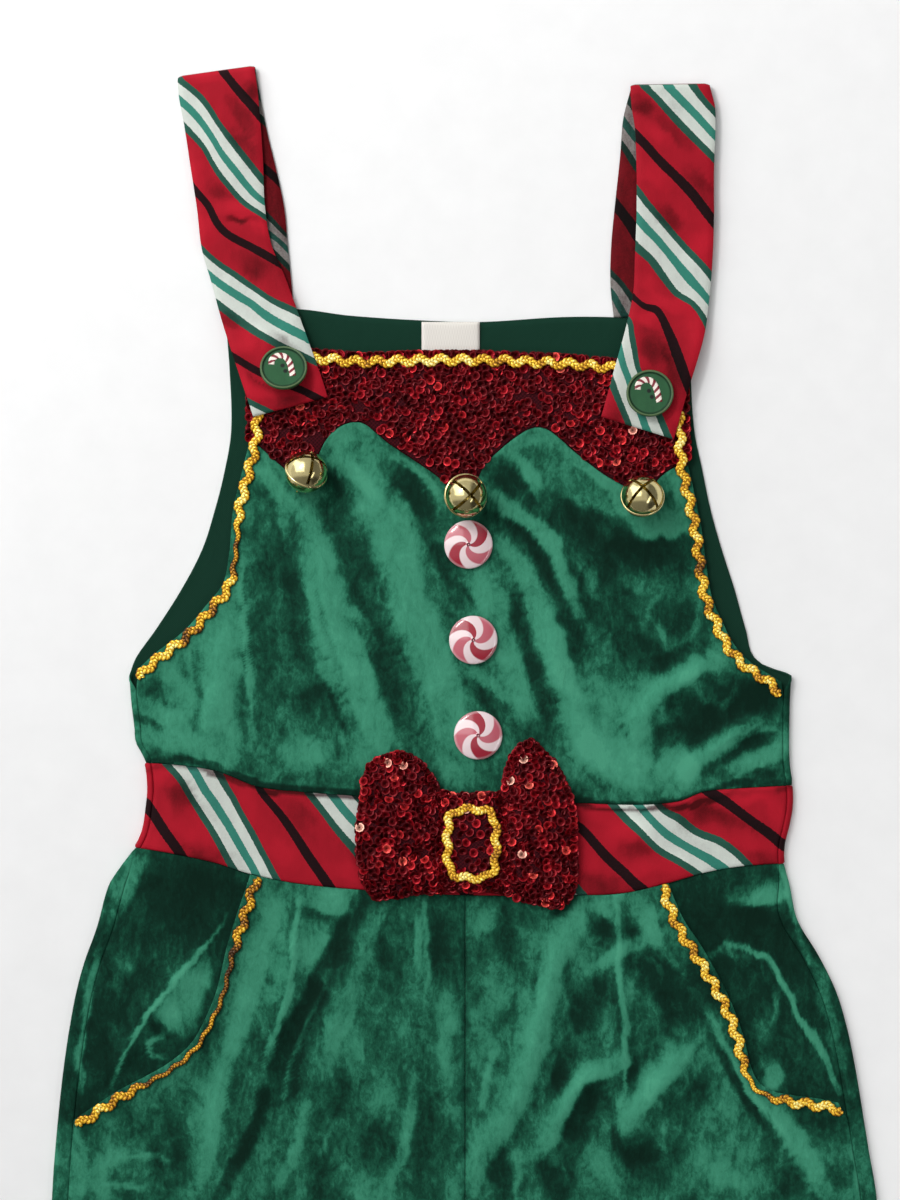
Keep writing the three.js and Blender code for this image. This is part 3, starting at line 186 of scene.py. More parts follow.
# Where the velvet is painted light or dark: painted highlights and painted shade of its folds, seams and
# pleats, over the pile's own tone,
# with the small creases that go with them: the change of pile tone and painted light, half width, height of
# the crease, and path.
BIB_NAP_AND_LIGHT = [
    (1.2, 11, 0.0, [(-143, 142), (-148, 118), (-150, 82), (-149, 50)]),
    (0.9, 5, 0.3, [(-196, 80), (-185, 75), (-168, 58)]), (0.9, 5, 0.3, [(-194, 62), (-176, 54), (-158, 50)]),
    (0.6, 6, 0.0, [(-180, 102), (-172, 84)]), (-0.9, 4.5, 0.0, [(-195, 92), (-184, 89)]),
    (-0.6, 2, -0.3, [(-200, 72), (-184, 67)]), (-0.8, 2.2, -0.3, [(-164, 114), (-163, 86), (-167, 66)]),
    (1.0, 1.8, 0.5, [(-136, 175), (-136, 140), (-133, 110), (-131, 80), (-130, 52)]),
    (-0.5, 3, 0.0, [(-138, 110), (-139, 60)]), (0.8, 4, 0.0, [(-125, 229), (-112, 212), (-102, 199)]),
    (-0.5, 11, 0.0, [(-118, 205), (-118, 150)]), (0.5, 3, 0.2, [(-112, 206), (-107, 176)]),
    (-0.7, 6, -0.3, [(-108, 184), (-103, 150), (-101, 120), (-97, 92)]),
    (0.5, 7, 0.0, [(-112, 62), (-96, 44)]),
    (1.2, 8.5, 0.5, [(-96, 205), (-89, 182), (-84, 155), (-78, 130), (-68, 108), (-57, 88), (-52, 66),
        (-62, 42)]),
    (0.7, 3, 0.3, [(-98, 168), (-93, 142), (-84, 118)]),
    (-0.8, 1.8, -0.5, [(-90, 150), (-84, 128), (-76, 106)]),
    (-0.7, 1.8, -0.4, [(-86, 98), (-79, 82), (-71, 64)]),
    (-0.9, 10, -0.3, [(-80, 198), (-66, 176), (-57, 148), (-48, 118), (-41, 92), (-33, 72), (-24, 56)]),
    (1.0, 3.2, 0.3, [(-72, 142), (-62, 132), (-56, 118)]), (0.8, 3, 0.0, [(-64, 206), (-57, 202)]),
    (-0.9, 5, 0.0, [(-84, 222), (-74, 208)]), (0.9, 4, 0.4, [(-77, 233), (-62, 220), (-50, 208)]),
    (1.3, 11.5, 0.5, [(-47, 215), (-42, 188), (-37, 162), (-30, 136), (-19, 112), (-12, 88), (-7, 62),
        (-2, 42)]),
    (-1.2, 6, -0.4, [(-44, 228), (-30, 212), (-20, 196)]),
    (-1.0, 6, -0.4, [(-14, 178), (-6, 162), (0, 148)]),
    (0.9, 2.4, 0.3, [(-40, 236), (-22, 221), (-11, 204)]),
    (0.7, 5, 0.0, [(-82, 240), (-70, 250), (-58, 247)]), (-0.9, 6, 0.0, [(-100, 80), (-88, 87), (-79, 72)]),
    (0.8, 7, 0.0, [(-98, 46), (-80, 58)]), (0.6, 5, 0.0, [(26, 240), (42, 249), (56, 245)]),
    (-1.3, 7, -0.4, [(17, 229), (27, 220), (37, 209)]), (0.9, 3.6, 0.3, [(32, 236), (42, 226), (49, 210)]),
    (1.3, 4.6, 0.5, [(17, 219), (28, 205), (42, 193), (53, 184), (61, 168), (67, 150), (71, 137)]),
    (-1.3, 5, -0.6, [(15, 197), (30, 190), (42, 177), (49, 164), (57, 148), (65, 131), (71, 114)]),
    (1.3, 7, 0.5, [(22, 187), (35, 174), (44, 155), (52, 138), (57, 118), (62, 98), (70, 78), (78, 56),
        (92, 40)]),
    (-0.9, 5, -0.4, [(33, 154), (36, 132), (43, 110), (49, 92), (54, 72), (60, 56)]),
    (1.0, 6.5, 0.0, [(0, 162), (14, 150), (25, 138)]),
    (1.0, 5.5, 0.3, [(25, 121), (31, 105), (36, 90), (40, 74)]),
    (0.7, 3.5, 0.0, [(8, 101), (20, 91), (32, 81)]), (-0.8, 4, 0.0, [(3, 92), (15, 86), (27, 76)]),
    (-1.2, 9, 0.0, [(52, 204), (72, 196), (100, 186)]), (-0.6, 12, 0.0, [(74, 178), (84, 150), (90, 122)]),
    (1.0, 4, 0.3, [(70, 234), (85, 222), (95, 212), (101, 202)]),
    (0.7, 4, 0.2, [(70, 170), (80, 160), (81, 146)]), (0.8, 7, 0.0, [(62, 96), (76, 90), (96, 86)]),
    (1.2, 12, 0.0, [(72, 46), (88, 52), (104, 42)]), (1.2, 7, 0.3, [(104, 197), (118, 191), (136, 193)]),
    (0.8, 3, 0.0, [(129, 227), (135, 215), (137, 204)]), (-1.4, 8, 0.0, [(96, 177), (120, 174), (142, 176)]),
    (0.6, 4.5, 0.0, [(101, 158), (112, 154)]), (-0.8, 9, 0.0, [(124, 138), (146, 134)]),
    (-0.7, 9, 0.0, [(102, 120), (118, 112)]), (0.6, 1.6, 0.2, [(120, 149), (111, 128)]),
    (0.6, 1.4, 0.2, [(122, 133), (129, 114)]), (0.6, 2.6, 0.2, [(147, 141), (142, 124)]),
    (-0.9, 5, 0.0, [(112, 104), (132, 110), (148, 118)]),
    (1.3, 5.5, 0.6, [(111, 77), (124, 90), (140, 98), (152, 108), (163, 109)]),
    (1.1, 6, 0.4, [(105, 80), (113, 58), (104, 36)]), (-1.6, 9, -0.3, [(136, 79), (150, 73), (163, 70)]),
    (-1.6, 9, 0.0, [(160, 91), (178, 86), (198, 82)]), (0.8, 2, 0.3, [(160, 76), (168, 86), (172, 95)]),
    (1.6, 4.6, 0.7, [(138, 38), (153, 51), (168, 62), (181, 71), (193, 71)]),
    (-0.8, 1.2, -0.4, [(158, 51), (174, 63), (186, 69)]),
    (-1.1, 3.6, -0.4, [(160, 48), (176, 58), (192, 62)]),
    (1.1, 4.6, 0.4, [(164, 36), (178, 44), (196, 52), (200, 62)]), (-0.8, 4, 0.0, [(153, 42), (163, 37)]),
    (-1.0, 3.5, 0.0, [(184, 39), (196, 36)]), (-0.8, 6, -0.3, [(112, 53), (125, 62), (141, 61)]),
    (1.2, 6, 0.3, [(118, 35), (131, 46), (141, 42), (131, 31)]),
    # A painted shadow along the waist seam, under the bib's lower edge.
    (-1.2, 2.0, 0.0, [(x, y + 1.5) for x, y in WAIST_TOP]),
]
# Painted highlights and painted shade of the legs and hips, over the pile's own tone, given the same way.
LEFT_LEG_NAP_AND_LIGHT = [
    (0.8, 4, 0.0, [(-240, -184), (-236, -205), (-240, -226)]),
    (0.9, 6, 0.0, [(-211, -190), (-222, -206), (-223, -226)]), (0.9, 1.8, 0.3, [(-208, -197), (-180, -201)]),
    (0.8, 1.6, 0.3, [(-222, -215), (-194, -219)]),
    (1.2, 5.5, 0.4, [(-117, -46), (-125, -72), (-131, -96), (-139, -122), (-149, -150), (-156, -186),
        (-166, -226)]),
    (-0.5, 6, 0.0, [(-150, -112), (-160, -145)]), (-0.5, 10, 0.0, [(-186, -180), (-180, -212)]),
    (-1.3, 3.4, -0.6, [(-120, -156), (-130, -180), (-140, -202), (-150, -226)]),
    (1.3, 1.8, 0.4, [(-100, -38), (-104, -70), (-110, -105), (-116, -125), (-121, -142)]),
    (1.3, 6, 0.0, [(-94, -38), (-70, -43)]), (1.1, 8, 0.0, [(-93, -60), (-88, -82)]),
    (0.7, 5, 0.0, [(-112, -46), (-115, -75), (-111, -98)]), (-0.6, 3, -0.2, [(-98, -47), (-86, -49)]),
    (-1.4, 6.4, -0.5, [(-60, -42), (-72, -58), (-82, -78), (-92, -98), (-103, -118), (-113, -140)]),
    (1.0, 1.6, 0.3, [(-82, -84), (-90, -102), (-98, -122), (-106, -145), (-110, -162)]),
    (-0.9, 3, -0.3, [(-102, -138), (-107, -162)]), (0.7, 5, 0.0, [(-50, -45), (-58, -65), (-62, -80)]),
    (0.8, 4.6, 0.0, [(-62, -85), (-68, -105), (-78, -125), (-86, -147)]),
    (-0.6, 6, 0.0, [(-46, -62), (-42, -96)]), (0.8, 2.4, 0.3, [(-27, -52), (-28, -80)]),
    (0.6, 1.5, 0.2, [(-22, -40), (-22, -104)]), (-0.9, 6, -0.3, [(-14, -44), (-12, -92)]),
    (0.5, 4, 0.0, [(-38, -105), (-32, -132)]), (0.7, 4, 0.3, [(-8, -100), (-10, -152)]),
    (0.8, 3, 0.3, [(-30, -150), (-34, -185), (-45, -216)]), (-0.9, 7, 0.0, [(-56, -182), (-52, -206)]),
    (0.6, 6, 0.0, [(-50, -155), (-62, -180)]), (0.8, 1.8, 0.3, [(-79, -180), (-88, -197)]),
    (0.8, 3, 0.3, [(-96, -165), (-102, -190), (-113, -216)]), (-0.6, 5, 0.0, [(-23, -150), (-26, -220)]),
    (0.4, 6, 0.0, [(-72, -216), (-54, -223)]), (-0.6, 4, 0.0, [(-75, -150), (-80, -172)]),
    (-0.5, 5, 0.0, [(-90, -200), (-92, -226)]),
]
LEFT_HIP_NAP_AND_LIGHT = [
    (1.5, 5, 0.0, [(-199, -11), (-207, -30), (-213, -46)]),
    (1.3, 2, 0.3, [(-225, -72), (-232, -100), (-235, -125), (-237, -160)]),
    (0.8, 5, 0.0, [(-204, -74), (-214, -90)]), (-0.7, 14, 0.0, [(-180, -30), (-152, -40)]),
    (1.9, 1.4, 0.6, [(-144, -48), (-158, -67), (-172, -82), (-185, -98), (-197, -115), (-207, -132),
        (-217, -154)]),
    (1.7, 8, 0.0, [(-157, -80), (-168, -96), (-172, -118)]), (1.5, 5, 0.0, [(-181, -104), (-178, -118)]),
    (-1.0, 3.6, -0.3, [(-190, -114), (-184, -122)]),
    (1.4, 1.8, 0.3, [(-184, -124), (-194, -130), (-193, -137), (-186, -139)]),
]
RIGHT_LEG_NAP_AND_LIGHT = [
    (0.8, 4, 0.0, [(18, -44), (13, -62)]), (-0.5, 4, 0.0, [(28, -45), (26, -72)]),
    (0.5, 5, 0.0, [(21, -98), (15, -117)]), (0.9, 1.7, 0.3, [(23, -130), (16, -150), (14, -167)]),
    (1.3, 6.5, 0.5, [(94, -37), (78, -48), (66, -62), (56, -85), (50, -110), (44, -135), (36, -160),
        (22, -185), (8, -205), (0, -226)]),
    (-1.0, 4, 0.0, [(67, -40), (57, -48)]), (-0.8, 2, -0.3, [(46, -75), (44, -112)]),
    (-1.1, 5.5, 0.0, [(82, -54), (93, -57)]), (-0.9, 4, 0.0, [(104, -53), (108, -63)]),
    (1.2, 4.5, 0.0, [(113, -38), (118, -63)]), (1.1, 4, 0.3, [(82, -85), (95, -75), (109, -66)]),
    (-1.0, 6, -0.2, [(71, -98), (77, -122)]), (-0.8, 4, 0.0, [(86, -87), (83, -102)]),
    (-1.2, 10, 0.0, [(112, -80), (130, -100), (136, -120)]), (-1.0, 4, 0.0, [(109, -138), (104, -157)]),
    (-0.8, 9, 0.0, [(126, -130), (112, -130)]), (0.7, 2.6, 0.2, [(106, -84), (103, -107)]),
    (0.7, 1.7, 0.2, [(113, -76), (121, -83), (124, -96)]), (0.6, 4, 0.0, [(92, -110), (86, -128)]),
    (1.2, 1.8, 0.4, [(96, -36), (98, -80), (101, -110), (101, -140), (98, -168)]),
    (1.4, 5, 0.5, [(100, -137), (88, -146), (76, -152), (66, -166), (56, -182), (47, -198)]),
    (-1.2, 4.5, -0.4, [(64, -128), (60, -150), (54, -172)]),
    (-1.4, 6, -0.5, [(93, -155), (80, -161), (74, -173), (65, -192)]),
    (1.6, 6.6, 0.5, [(142, -127), (126, -145), (112, -162), (101, -180)]),
    (-1.4, 9, -0.3, [(107, -191), (113, -206)]), (-1.1, 2.6, -0.4, [(92, -164), (94, -186), (101, -202)]),
    (0.6, 5, 0.0, [(80, -190), (90, -210), (96, -226)]), (0.5, 3, 0.0, [(120, -174), (126, -196)]),
    (-1.0, 8, 0.0, [(19, -201), (28, -216)]), (0.8, 1.7, 0.2, [(33, -194), (35, -226)]),
    (-0.8, 6, 0.0, [(52, -200), (58, -223)]), (-0.8, 6, 0.0, [(139, -74), (153, -96)]),
    (1.0, 2.4, 0.4, [(152, -104), (160, -125), (170, -145), (182, -165), (195, -180), (206, -196)]),
    (-1.2, 2.8, -0.4, [(158, -130), (166, -150), (180, -172), (193, -191)]),
    (0.4, 8, 0.0, [(166, -152), (160, -176)]),
    (1.1, 5, 0.3, [(184, -164), (200, -180), (215, -200), (226, -224)]),
    (-1.1, 5, 0.0, [(210, -173), (234, -178)]), (-0.9, 5, 0.0, [(150, -150), (139, -167)]),
    (-0.7, 5, 0.0, [(206, -204), (202, -224)]), (0.7, 8, 0.0, [(148, -205), (176, -213)]),
    (1.0, 2, 0.2, [(238, -180), (243, -200), (247, -226)]),
]
RIGHT_HIP_NAP_AND_LIGHT = [
    (-0.7, 10, 0.0, [(144, -50), (180, -56), (206, -62)]),
    (2.0, 5, 0.3, [(172, -41), (190, -38), (201, -31)]), (1.6, 3, 0.0, [(197, -18), (203, -34), (207, -50)]),
    (1.1, 1.8, 0.2, [(206, -48), (212, -68), (218, -84)]),
    (2.0, 2.0, 0.6, [(152, -71), (166, -68), (178, -71), (190, -80), (200, -93), (207, -108),
        (216, -123), (226, -141), (233, -158)]),
    (0.8, 2.6, 0.0, [(158, -72), (176, -75)]), (1.0, 4, 0.0, [(222, -80), (227, -110), (234, -142)]),
    (1.6, 4, 0.0, [(190, -141), (194, -150), (188, -159)]), (1.0, 2, 0.2, [(195, -94), (194, -117)]),
    (0.7, 4, 0.0, [(190, -110), (186, -126)]),
]
# Below the photo's edge: long soft strokes down the legs and across the knees.
# Strokes of painted light and shade, with small creases.
LOWER_NAP_AND_LIGHT = [
    (0.8, 9, 0.3, [(-40, -258), (-92, -296), (-168, -326)]),
    (-0.9, 7, -0.3, [(-38, -276), (-96, -314), (-170, -344)]),
    (0.8, 9, 0.3, [(34, -246), (96, -300), (176, -346)]),
    (-0.9, 8, -0.3, [(40, -266), (100, -322), (180, -366)]),
    (-0.8, 7, -0.4, [(-60, -250), (-110, -262), (-190, -268)]),
    (-0.7, 7, -0.4, [(80, -250), (130, -262), (205, -262)]),
    (0.8, 8, 0.3, [(-158, -380), (-146, -560), (-152, -760)]),
    (-0.9, 7, -0.3, [(-138, -380), (-128, -560), (-134, -760)]),
    (0.8, 8, 0.3, [(136, -400), (148, -600), (138, -820)]),
    (-0.9, 7, -0.3, [(158, -400), (169, -600), (160, -820)]),
    (0.9, 7, 0.4, [(-60, -464), (-112, -512), (-190, -532)]),
    (-0.9, 6, -0.4, [(-62, -480), (-116, -530), (-190, -550)]),
    (0.9, 7, 0.4, [(220, -492), (150, -540), (80, -552)]),
    (-0.9, 6, -0.4, [(220, -512), (150, -558), (80, -570)]),
    (0.7, 12, 0.2, [(-210, -420), (-214, -600), (-206, -780)]),
    (0.7, 12, 0.2, [(214, -640), (220, -760), (212, -900)]),
    (-0.8, 6, -0.4, [(-205, -600), (-150, -622), (-90, -612)]),
    (-0.8, 6, -0.4, [(60, -640), (120, -668), (190, -650)]),
    (0.8, 7, 0.3, [(-80, -660), (-70, -760), (-86, -880)]),
    (0.8, 7, 0.3, [(78, -680), (70, -780), (84, -900)]),
    (-0.8, 8, -0.3, [(-190, -820), (-180, -900), (-186, -985)]),
    (-0.8, 8, -0.3, [(190, -840), (182, -920), (188, -985)]),
    (0.7, 9, 0.2, [(-120, -860), (-128, -930), (-120, -990)]),
    (0.7, 9, 0.2, [(130, -860), (122, -930), (132, -990)]),
    (-0.7, 6, -0.3, [(-230, -700), (-190, -716), (-150, -700)]),
    (-0.7, 6, -0.3, [(110, -742), (160, -760), (230, -738)]),
]
LEG_NAP_AND_LIGHT = LEFT_LEG_NAP_AND_LIGHT + RIGHT_LEG_NAP_AND_LIGHT + LOWER_NAP_AND_LIGHT
HIP_NAP_AND_LIGHT = LEFT_HIP_NAP_AND_LIGHT + RIGHT_HIP_NAP_AND_LIGHT
POCKETS = {-1: POCKET_LEFT, 1: POCKET_RIGHT}

# Straps: (left x, left y, right x, right y, height of the middle), the same as the frame's.
STRAP_ROWS = {
    "left": ([
        (-129, 259, -83, 271, 9.5), (-133, 271, -86, 281, 9.6), (-138, 286, -91, 295, 9.9),
        (-143, 301, -96, 309, 9.4), (-149, 320, -103, 328, 6.6), (-155, 342, -110, 347, 5.4),
        (-161, 363, -118, 366, 5.3), (-164, 388, -122, 390, 5.8), (-168, 414, -123, 416, 6.2),
        (-172, 440, -125, 445, 5.6), (-175, 456, -126.6, 462, 5.3), (-176, 466.8, -128.2, 473.6, 5.2),
    ], [
        (-175.4, 466.8, -127.8, 473.6, 1.3), (-168, 437, -121, 437, 1.3), (-162, 412, -115, 412, 1.3),
        (-157, 388, -110, 388, 1.3), (-155, 366, -108, 366, 1.3), (-153, 346, -106, 346, 1.3),
        (-150, 325.8, -104, 324.6, 1.3),
    ]),
    "right": ([
        (86, 259, 131, 245, 9.5), (90, 273, 135, 259, 9.6), (94, 288, 140, 276, 9.8),
        (98, 302, 145, 292, 9.4), (102, 317, 150, 310, 7.0), (106, 336, 153, 331, 5.4),
        (107, 358, 155, 355, 5.3), (108, 384, 156, 383, 5.8), (108, 412, 156, 412, 6.0),
        (107, 438, 157, 438, 5.6), (105, 451, 156.6, 451, 5.3), (104.3, 461.8, 153.8, 462.4, 5.2),
    ], [
        (104.5, 461.8, 152.6, 462.4, 1.3), (100, 444, 148, 444, 1.3), (98, 420, 147, 420, 1.3),
        (95, 392, 144, 392, 1.3), (92.5, 365, 141, 365, 1.3), (92, 342, 140, 342, 1.3),
        (94, 321.0, 141, 319.6, 1.3),
    ]),
}
# Spots of the stripes: (x, y, stripe). Whole numbers are the middles of the black lines, halves
# the middles of the green and white bands, and a band's edges are 0.18 to each side of its middle.
STRAP_STRIPES = {
    "left": [
        (-150, 475, 0), (-140, 463, 0), (-132, 454, 0), (-125, 446, 0),
        (-173, 468, 0.32), (-160, 457, 0.32), (-150, 442, 0.32), (-140, 429, 0.32), (-125, 410, 0.32),
        (-171, 452, 0.5), (-160, 440, 0.5), (-150, 424, 0.5), (-140, 411, 0.5), (-124, 393, 0.5),
        (-169, 434, 0.68), (-160, 424, 0.68), (-150, 407, 0.68), (-140, 395, 0.68), (-127, 385, 0.68),
        (-164, 398, 1), (-157, 390, 1), (-151, 378, 1), (-145, 372, 1), (-130, 364, 1), (-112, 354, 1),
        (-159, 363, 1.32), (-141, 349, 1.32), (-130, 341, 1.32), (-120, 334, 1.32), (-101, 325, 1.32),
        (-153, 344, 1.5), (-140, 335, 1.5), (-130, 329, 1.5), (-120, 321, 1.5), (-98, 309, 1.5),
        (-150, 326, 1.68), (-140, 318, 1.68), (-130, 311, 1.68), (-110, 300, 1.68), (-92, 292, 1.68),
        (-141, 296, 2), (-133, 291, 2), (-126, 287, 2), (-100, 276, 2), (-90, 271, 2),
        (-132, 270, 2.32), (-118, 263, 2.32), (-129, 261, 2.44),
    ],
    "right": [
        (144, 465, 0.32), (149, 458, 0.32), (154, 452, 0.32),
        (128, 463, 0.5), (135, 456, 0.5), (145, 446, 0.5), (153, 437, 0.5),
        (109, 465, 0.68), (118, 457, 0.68), (126, 448, 0.68), (135, 438, 0.68), (155, 418, 0.68),
        (107, 434, 1), (115, 426, 1), (120, 420, 1), (128, 412, 1), (142, 398, 1), (155, 381, 1),
        (110, 400, 1.32), (115, 393, 1.32), (120, 387, 1.32), (130, 375, 1.32), (140, 364, 1.32),
        (154, 349, 1.32), (108, 383, 1.5), (115, 375, 1.5), (120, 370, 1.5), (130, 358, 1.5),
        (140, 346, 1.5), (151, 333, 1.5), (107, 363, 1.68), (116, 355, 1.68), (124, 344, 1.68),
        (132, 334, 1.68), (142, 328, 1.68), (148, 320, 1.68), (151, 314, 1.68),
        (107, 332, 2), (113, 327, 2), (120, 326, 2), (124, 320, 2), (127, 313, 2), (130, 306, 2),
        (133, 298, 2), (136, 290, 2), (139, 281, 2), (104, 320, 2.32), (106, 311, 2.32),
        (108, 300, 2.32), (110, 289, 2.32), (124, 259, 2.32), (129, 247, 2.32), (99, 294, 2.5),
        (103, 283, 2.5), (113, 254, 2.5), (91, 280, 2.68), (95, 270, 2.68), (101, 256, 2.68),
    ],
    "left_back": [
        (-122, 413, 0), (-114, 406, 0), (-120, 385, 0.32), (-109, 373, 0.32), (-113, 368, 0.5),
        (-108, 363, 0.5), (-168, 455, 0), (-160, 360, 1), (-112, 330, 1),
    ],
    "right_back": [
        (101, 441, 0.5), (106, 434, 0.5), (99, 426, 0.68), (107, 413, 0.68), (96, 390, 1),
        (105, 378, 1), (92.5, 350, 1.32), (103, 338, 1.32), (93, 336, 1.5), (99, 325, 1.5), (148, 395, 0.5),
    ],
}
BAND_STRIPES = [
    (-193, 16, 0), (-184, 2, 0), (-176, -9, 0),
    (-184, 43, 0.32), (-175, 33, 0.32), (-166, 18, 0.32), (-156, 2, 0.32), (-145, -18, 0.32),
    (-167.5, 42, 0.5), (-160, 29, 0.5), (-150, 14.5, 0.5), (-140, -2, 0.5), (-130, -19, 0.5),
    (-150, 41, 0.68), (-140, 23, 0.68), (-130, 4.5, 0.68), (-122.5, -10, 0.68), (-115, -24, 0.68),
    (-125, 28, 1), (-115, 16, 1), (-104, 1, 1), (-95, -13, 1), (-84, -29, 1),
    (-95.6, 24.5, 1.32), (-85, 11, 1.32), (-75, -2, 1.32), (-65, -14, 1.32),
    (-79, 23, 1.5), (-70, 12, 1.5), (-62.5, 4.5, 1.5), (-40, 8, 1.8), (0, -8, 2.2), (40, 8, 2.55),
    (68, -34, 2.62), (69, 8, 3), (75, 3, 3), (82.5, -5.5, 3), (90, -14, 3), (99, -22, 3), (107.5, -30.5, 3),
    (91, 19, 3.32), (101, 8, 3.32), (110, 0, 3.32), (121, -10.5, 3.32), (132.5, -17, 3.32), (142, -23, 3.32),
    (110, 18, 3.5), (117.5, 9.5, 3.5), (126, 1, 3.5), (136, -5.5, 3.5), (147.5, -12, 3.5), (157.5, -18, 3.5),
    (125, 17, 3.68), (135, 12, 3.68), (145, 4, 3.68), (160, -2, 3.68), (170, -9, 3.68), (179, -18, 3.68),
    (152.5, 27, 4), (161, 22, 4), (171, 14.5, 4), (181, 7, 4), (191, 0, 4), (197.5, -5.5, 4),
    (204, 26, 4.24), (206, 8, 4.16),
]
# Light and shade on the striped cloth, with its small creases, as the pile's strokes are given.
BAND_PAINTED_LIGHT = [
    (-1.0, 7, 0.0, [(-180, 30), (-170, 14)]), (1.0, 5, 0.3, [(-190, 39), (-182, 34)]),
    (1.1, 7, 0.4, [(-176, 14), (-165, 4), (-156, -6)]), (0.7, 5, 0.0, [(-196, -2), (-186, -6)]),
    (-0.9, 6, 0.0, [(-168, -10), (-148, -14)]), (0.6, 5, 0.2, [(-138, 32), (-128, 10)]),
    (0.7, 6, 0.2, [(-118, -4), (-104, -18)]), (-0.7, 6, 0.0, [(-110, 18), (-90, 2)]),
    (0.6, 4, 0.2, [(-80, -22), (-62, -26)]), (-0.6, 5, 0.0, [(-72, -6), (-58, -18)]),
    (0.6, 5, 0.2, [(76, 14), (90, 10)]), (1.1, 6, 0.4, [(88, -6), (100, 2), (112, 2)]),
    (-1.0, 5, -0.4, [(100, -8), (125, -15)]), (1.1, 5, 0.4, [(104, -23), (120, -18), (136, -20)]),
    (-0.7, 6, 0.0, [(74, -28), (100, -33)]), (0.6, 5, 0.0, [(74, -12), (88, -24)]),
    (1.0, 5, 0.4, [(150, 2), (166, 1), (190, -8)]), (-1.0, 6, -0.3, [(138, 16), (160, 10), (186, 2)]),
    (-0.8, 5, 0.0, [(148, 26), (146, 18)]), (1.0, 4, 0.4, [(164, 25), (178, 22), (190, 29)]),
    (0.8, 4, 0.0, [(190, 28), (196, 8)]), (-0.7, 4, 0.0, [(180, -14), (196, -14)]),
    # A painted shadow along the top of the band, under the edge of the velvet.
    (-1.6, 1.8, 0.0, [(-206, 43.5), (-153, 38.5), (-126, 28.5), (-57, 22.5), (2, 19.5), (110, 17.5),
        (134, 19.5), (206, 29.5)]),
]
# Painted light and shade on the straps, with their small creases, given the same way.
STRAP_PAINTED_LIGHT = [
    (0.9, 6, 0.2, [(-168, 470), (-150, 473)]), (-0.8, 4, -0.3, [(-142, 454), (-130, 438)]),
    (0.6, 4, 0.2, [(-138, 473), (-131, 470)]), (-1.0, 4, -0.4, [(-132, 462), (-127, 456)]),
    (-0.8, 5, -0.2, [(-140, 436), (-132, 422)]), (0.7, 4, 0.2, [(-165, 418), (-163, 405)]),
    (-0.8, 4, -0.3, [(-155, 402), (-146, 394)]), (1.2, 4, 0.6, [(-148, 386), (-135, 386), (-124, 374)]),
    (-1.2, 1.8, -0.5, [(-146, 380), (-125, 380)]), (0.9, 4, 0.3, [(-161, 384), (-157, 368)]),
    (1.0, 3, 0.4, [(-122, 380), (-117, 370)]), (-0.9, 7, 0.0, [(-135, 356), (-116, 345)]),
    (-0.8, 3, -0.4, [(-149, 321), (-134, 313)]), (1.1, 7, 0.4, [(-141, 305), (-126, 301)]),
    (-0.8, 4, 0.0, [(-116, 306), (-104, 300)]), (1.2, 4, 0.5, [(-136, 286), (-127, 274), (-118, 268)]),
    (-1.2, 1.8, -0.6, [(-134, 289), (-127, 279), (-119, 274)]), (-0.8, 3, -0.3, [(-124, 266), (-100, 268)]),
    (1.0, 4, 0.3, [(-92, 286), (-87, 276)]), (-1.0, 5, 0.0, [(108, 456), (118, 447)]),
    (0.7, 4, 0.3, [(117, 437), (125, 430)]), (-0.7, 4, -0.2, [(125, 442), (140, 428)]),
    (0.7, 5, 0.3, [(111, 414), (124, 404)]), (-0.8, 5, 0.0, [(140, 410), (152, 394)]),
    (-0.8, 5, -0.2, [(120, 388), (136, 376)]), (1.0, 6, 0.3, [(148, 374), (152, 358)]),
    (0.8, 4, 0.3, [(112, 344), (120, 336)]), (1.0, 4, 0.5, [(114, 331), (126, 328), (140, 325)]),
    (1.0, 4, 0.5, [(107, 320), (119, 317)]), (-0.9, 7, 0.0, [(114, 308), (124, 290)]),
    (1.1, 5, 0.5, [(141, 324), (147, 308), (144, 292)]), (-0.8, 4, -0.4, [(128, 300), (134, 276)]),
    (0.9, 4, 0.3, [(128, 262), (137, 256)]), (-0.7, 4, 0.0, [(92, 262), (98, 256)]),
]

BOW_LEVEL = 6.8
BOW_EDGES = {
    "left": {
        "top": [(-13.5, 22), (-20, 37), (-30, 47), (-40, 50)],
        "outer": [(-40, 50), (-56, 43), (-61, 22), (-63, -9), (-58, -31), (-52, -38)],
        "bottom": [(-13.5, -33), (-24, -34), (-38, -36), (-52, -38)],
        "inner": [(-13.5, 22), (-13.5, -6), (-13.5, -33)],
    },
    "right": {
        "top": [(25.5, 22), (29, 42), (35, 53), (43, 58)],
        "outer": [(43, 58), (56, 44), (67, 22), (69, -9), (68, -34), (61, -43)],
        "bottom": [(25.5, -33), (34, -37), (48, -41), (61, -43)],
        "inner": [(25.5, 22), (25.5, -6), (25.5, -33)],
    },
}
KNOT = {"x": 6, "y": -4, "half_width": 19, "half_length": 30, "height": 9, "edge": 4.2}
BUCKLE = {"x": 6, "y": -4.5, "half_width": 14.5, "half_length": 21, "corner": 9, "sway": 1.2, "waves": 10}

MINT = {"radius": 15, "height": 5.2, "rim": 1.8}
# Each peppermint's name, place and turn.
MINTS = [("mint_top", 4, 180, -45), ("mint_middle", 7, 121, 40), ("mint_bottom", 10, 62, 12)]
BUTTON = {"radius": 14.6, "height": 3.2, "rim": 1.3, "dish": 0.9, "foot": 13.4}
BUTTON_HOLES = [(-0.04, 0.10), (0.08, -0.16)]  # centres, as shares of the radius
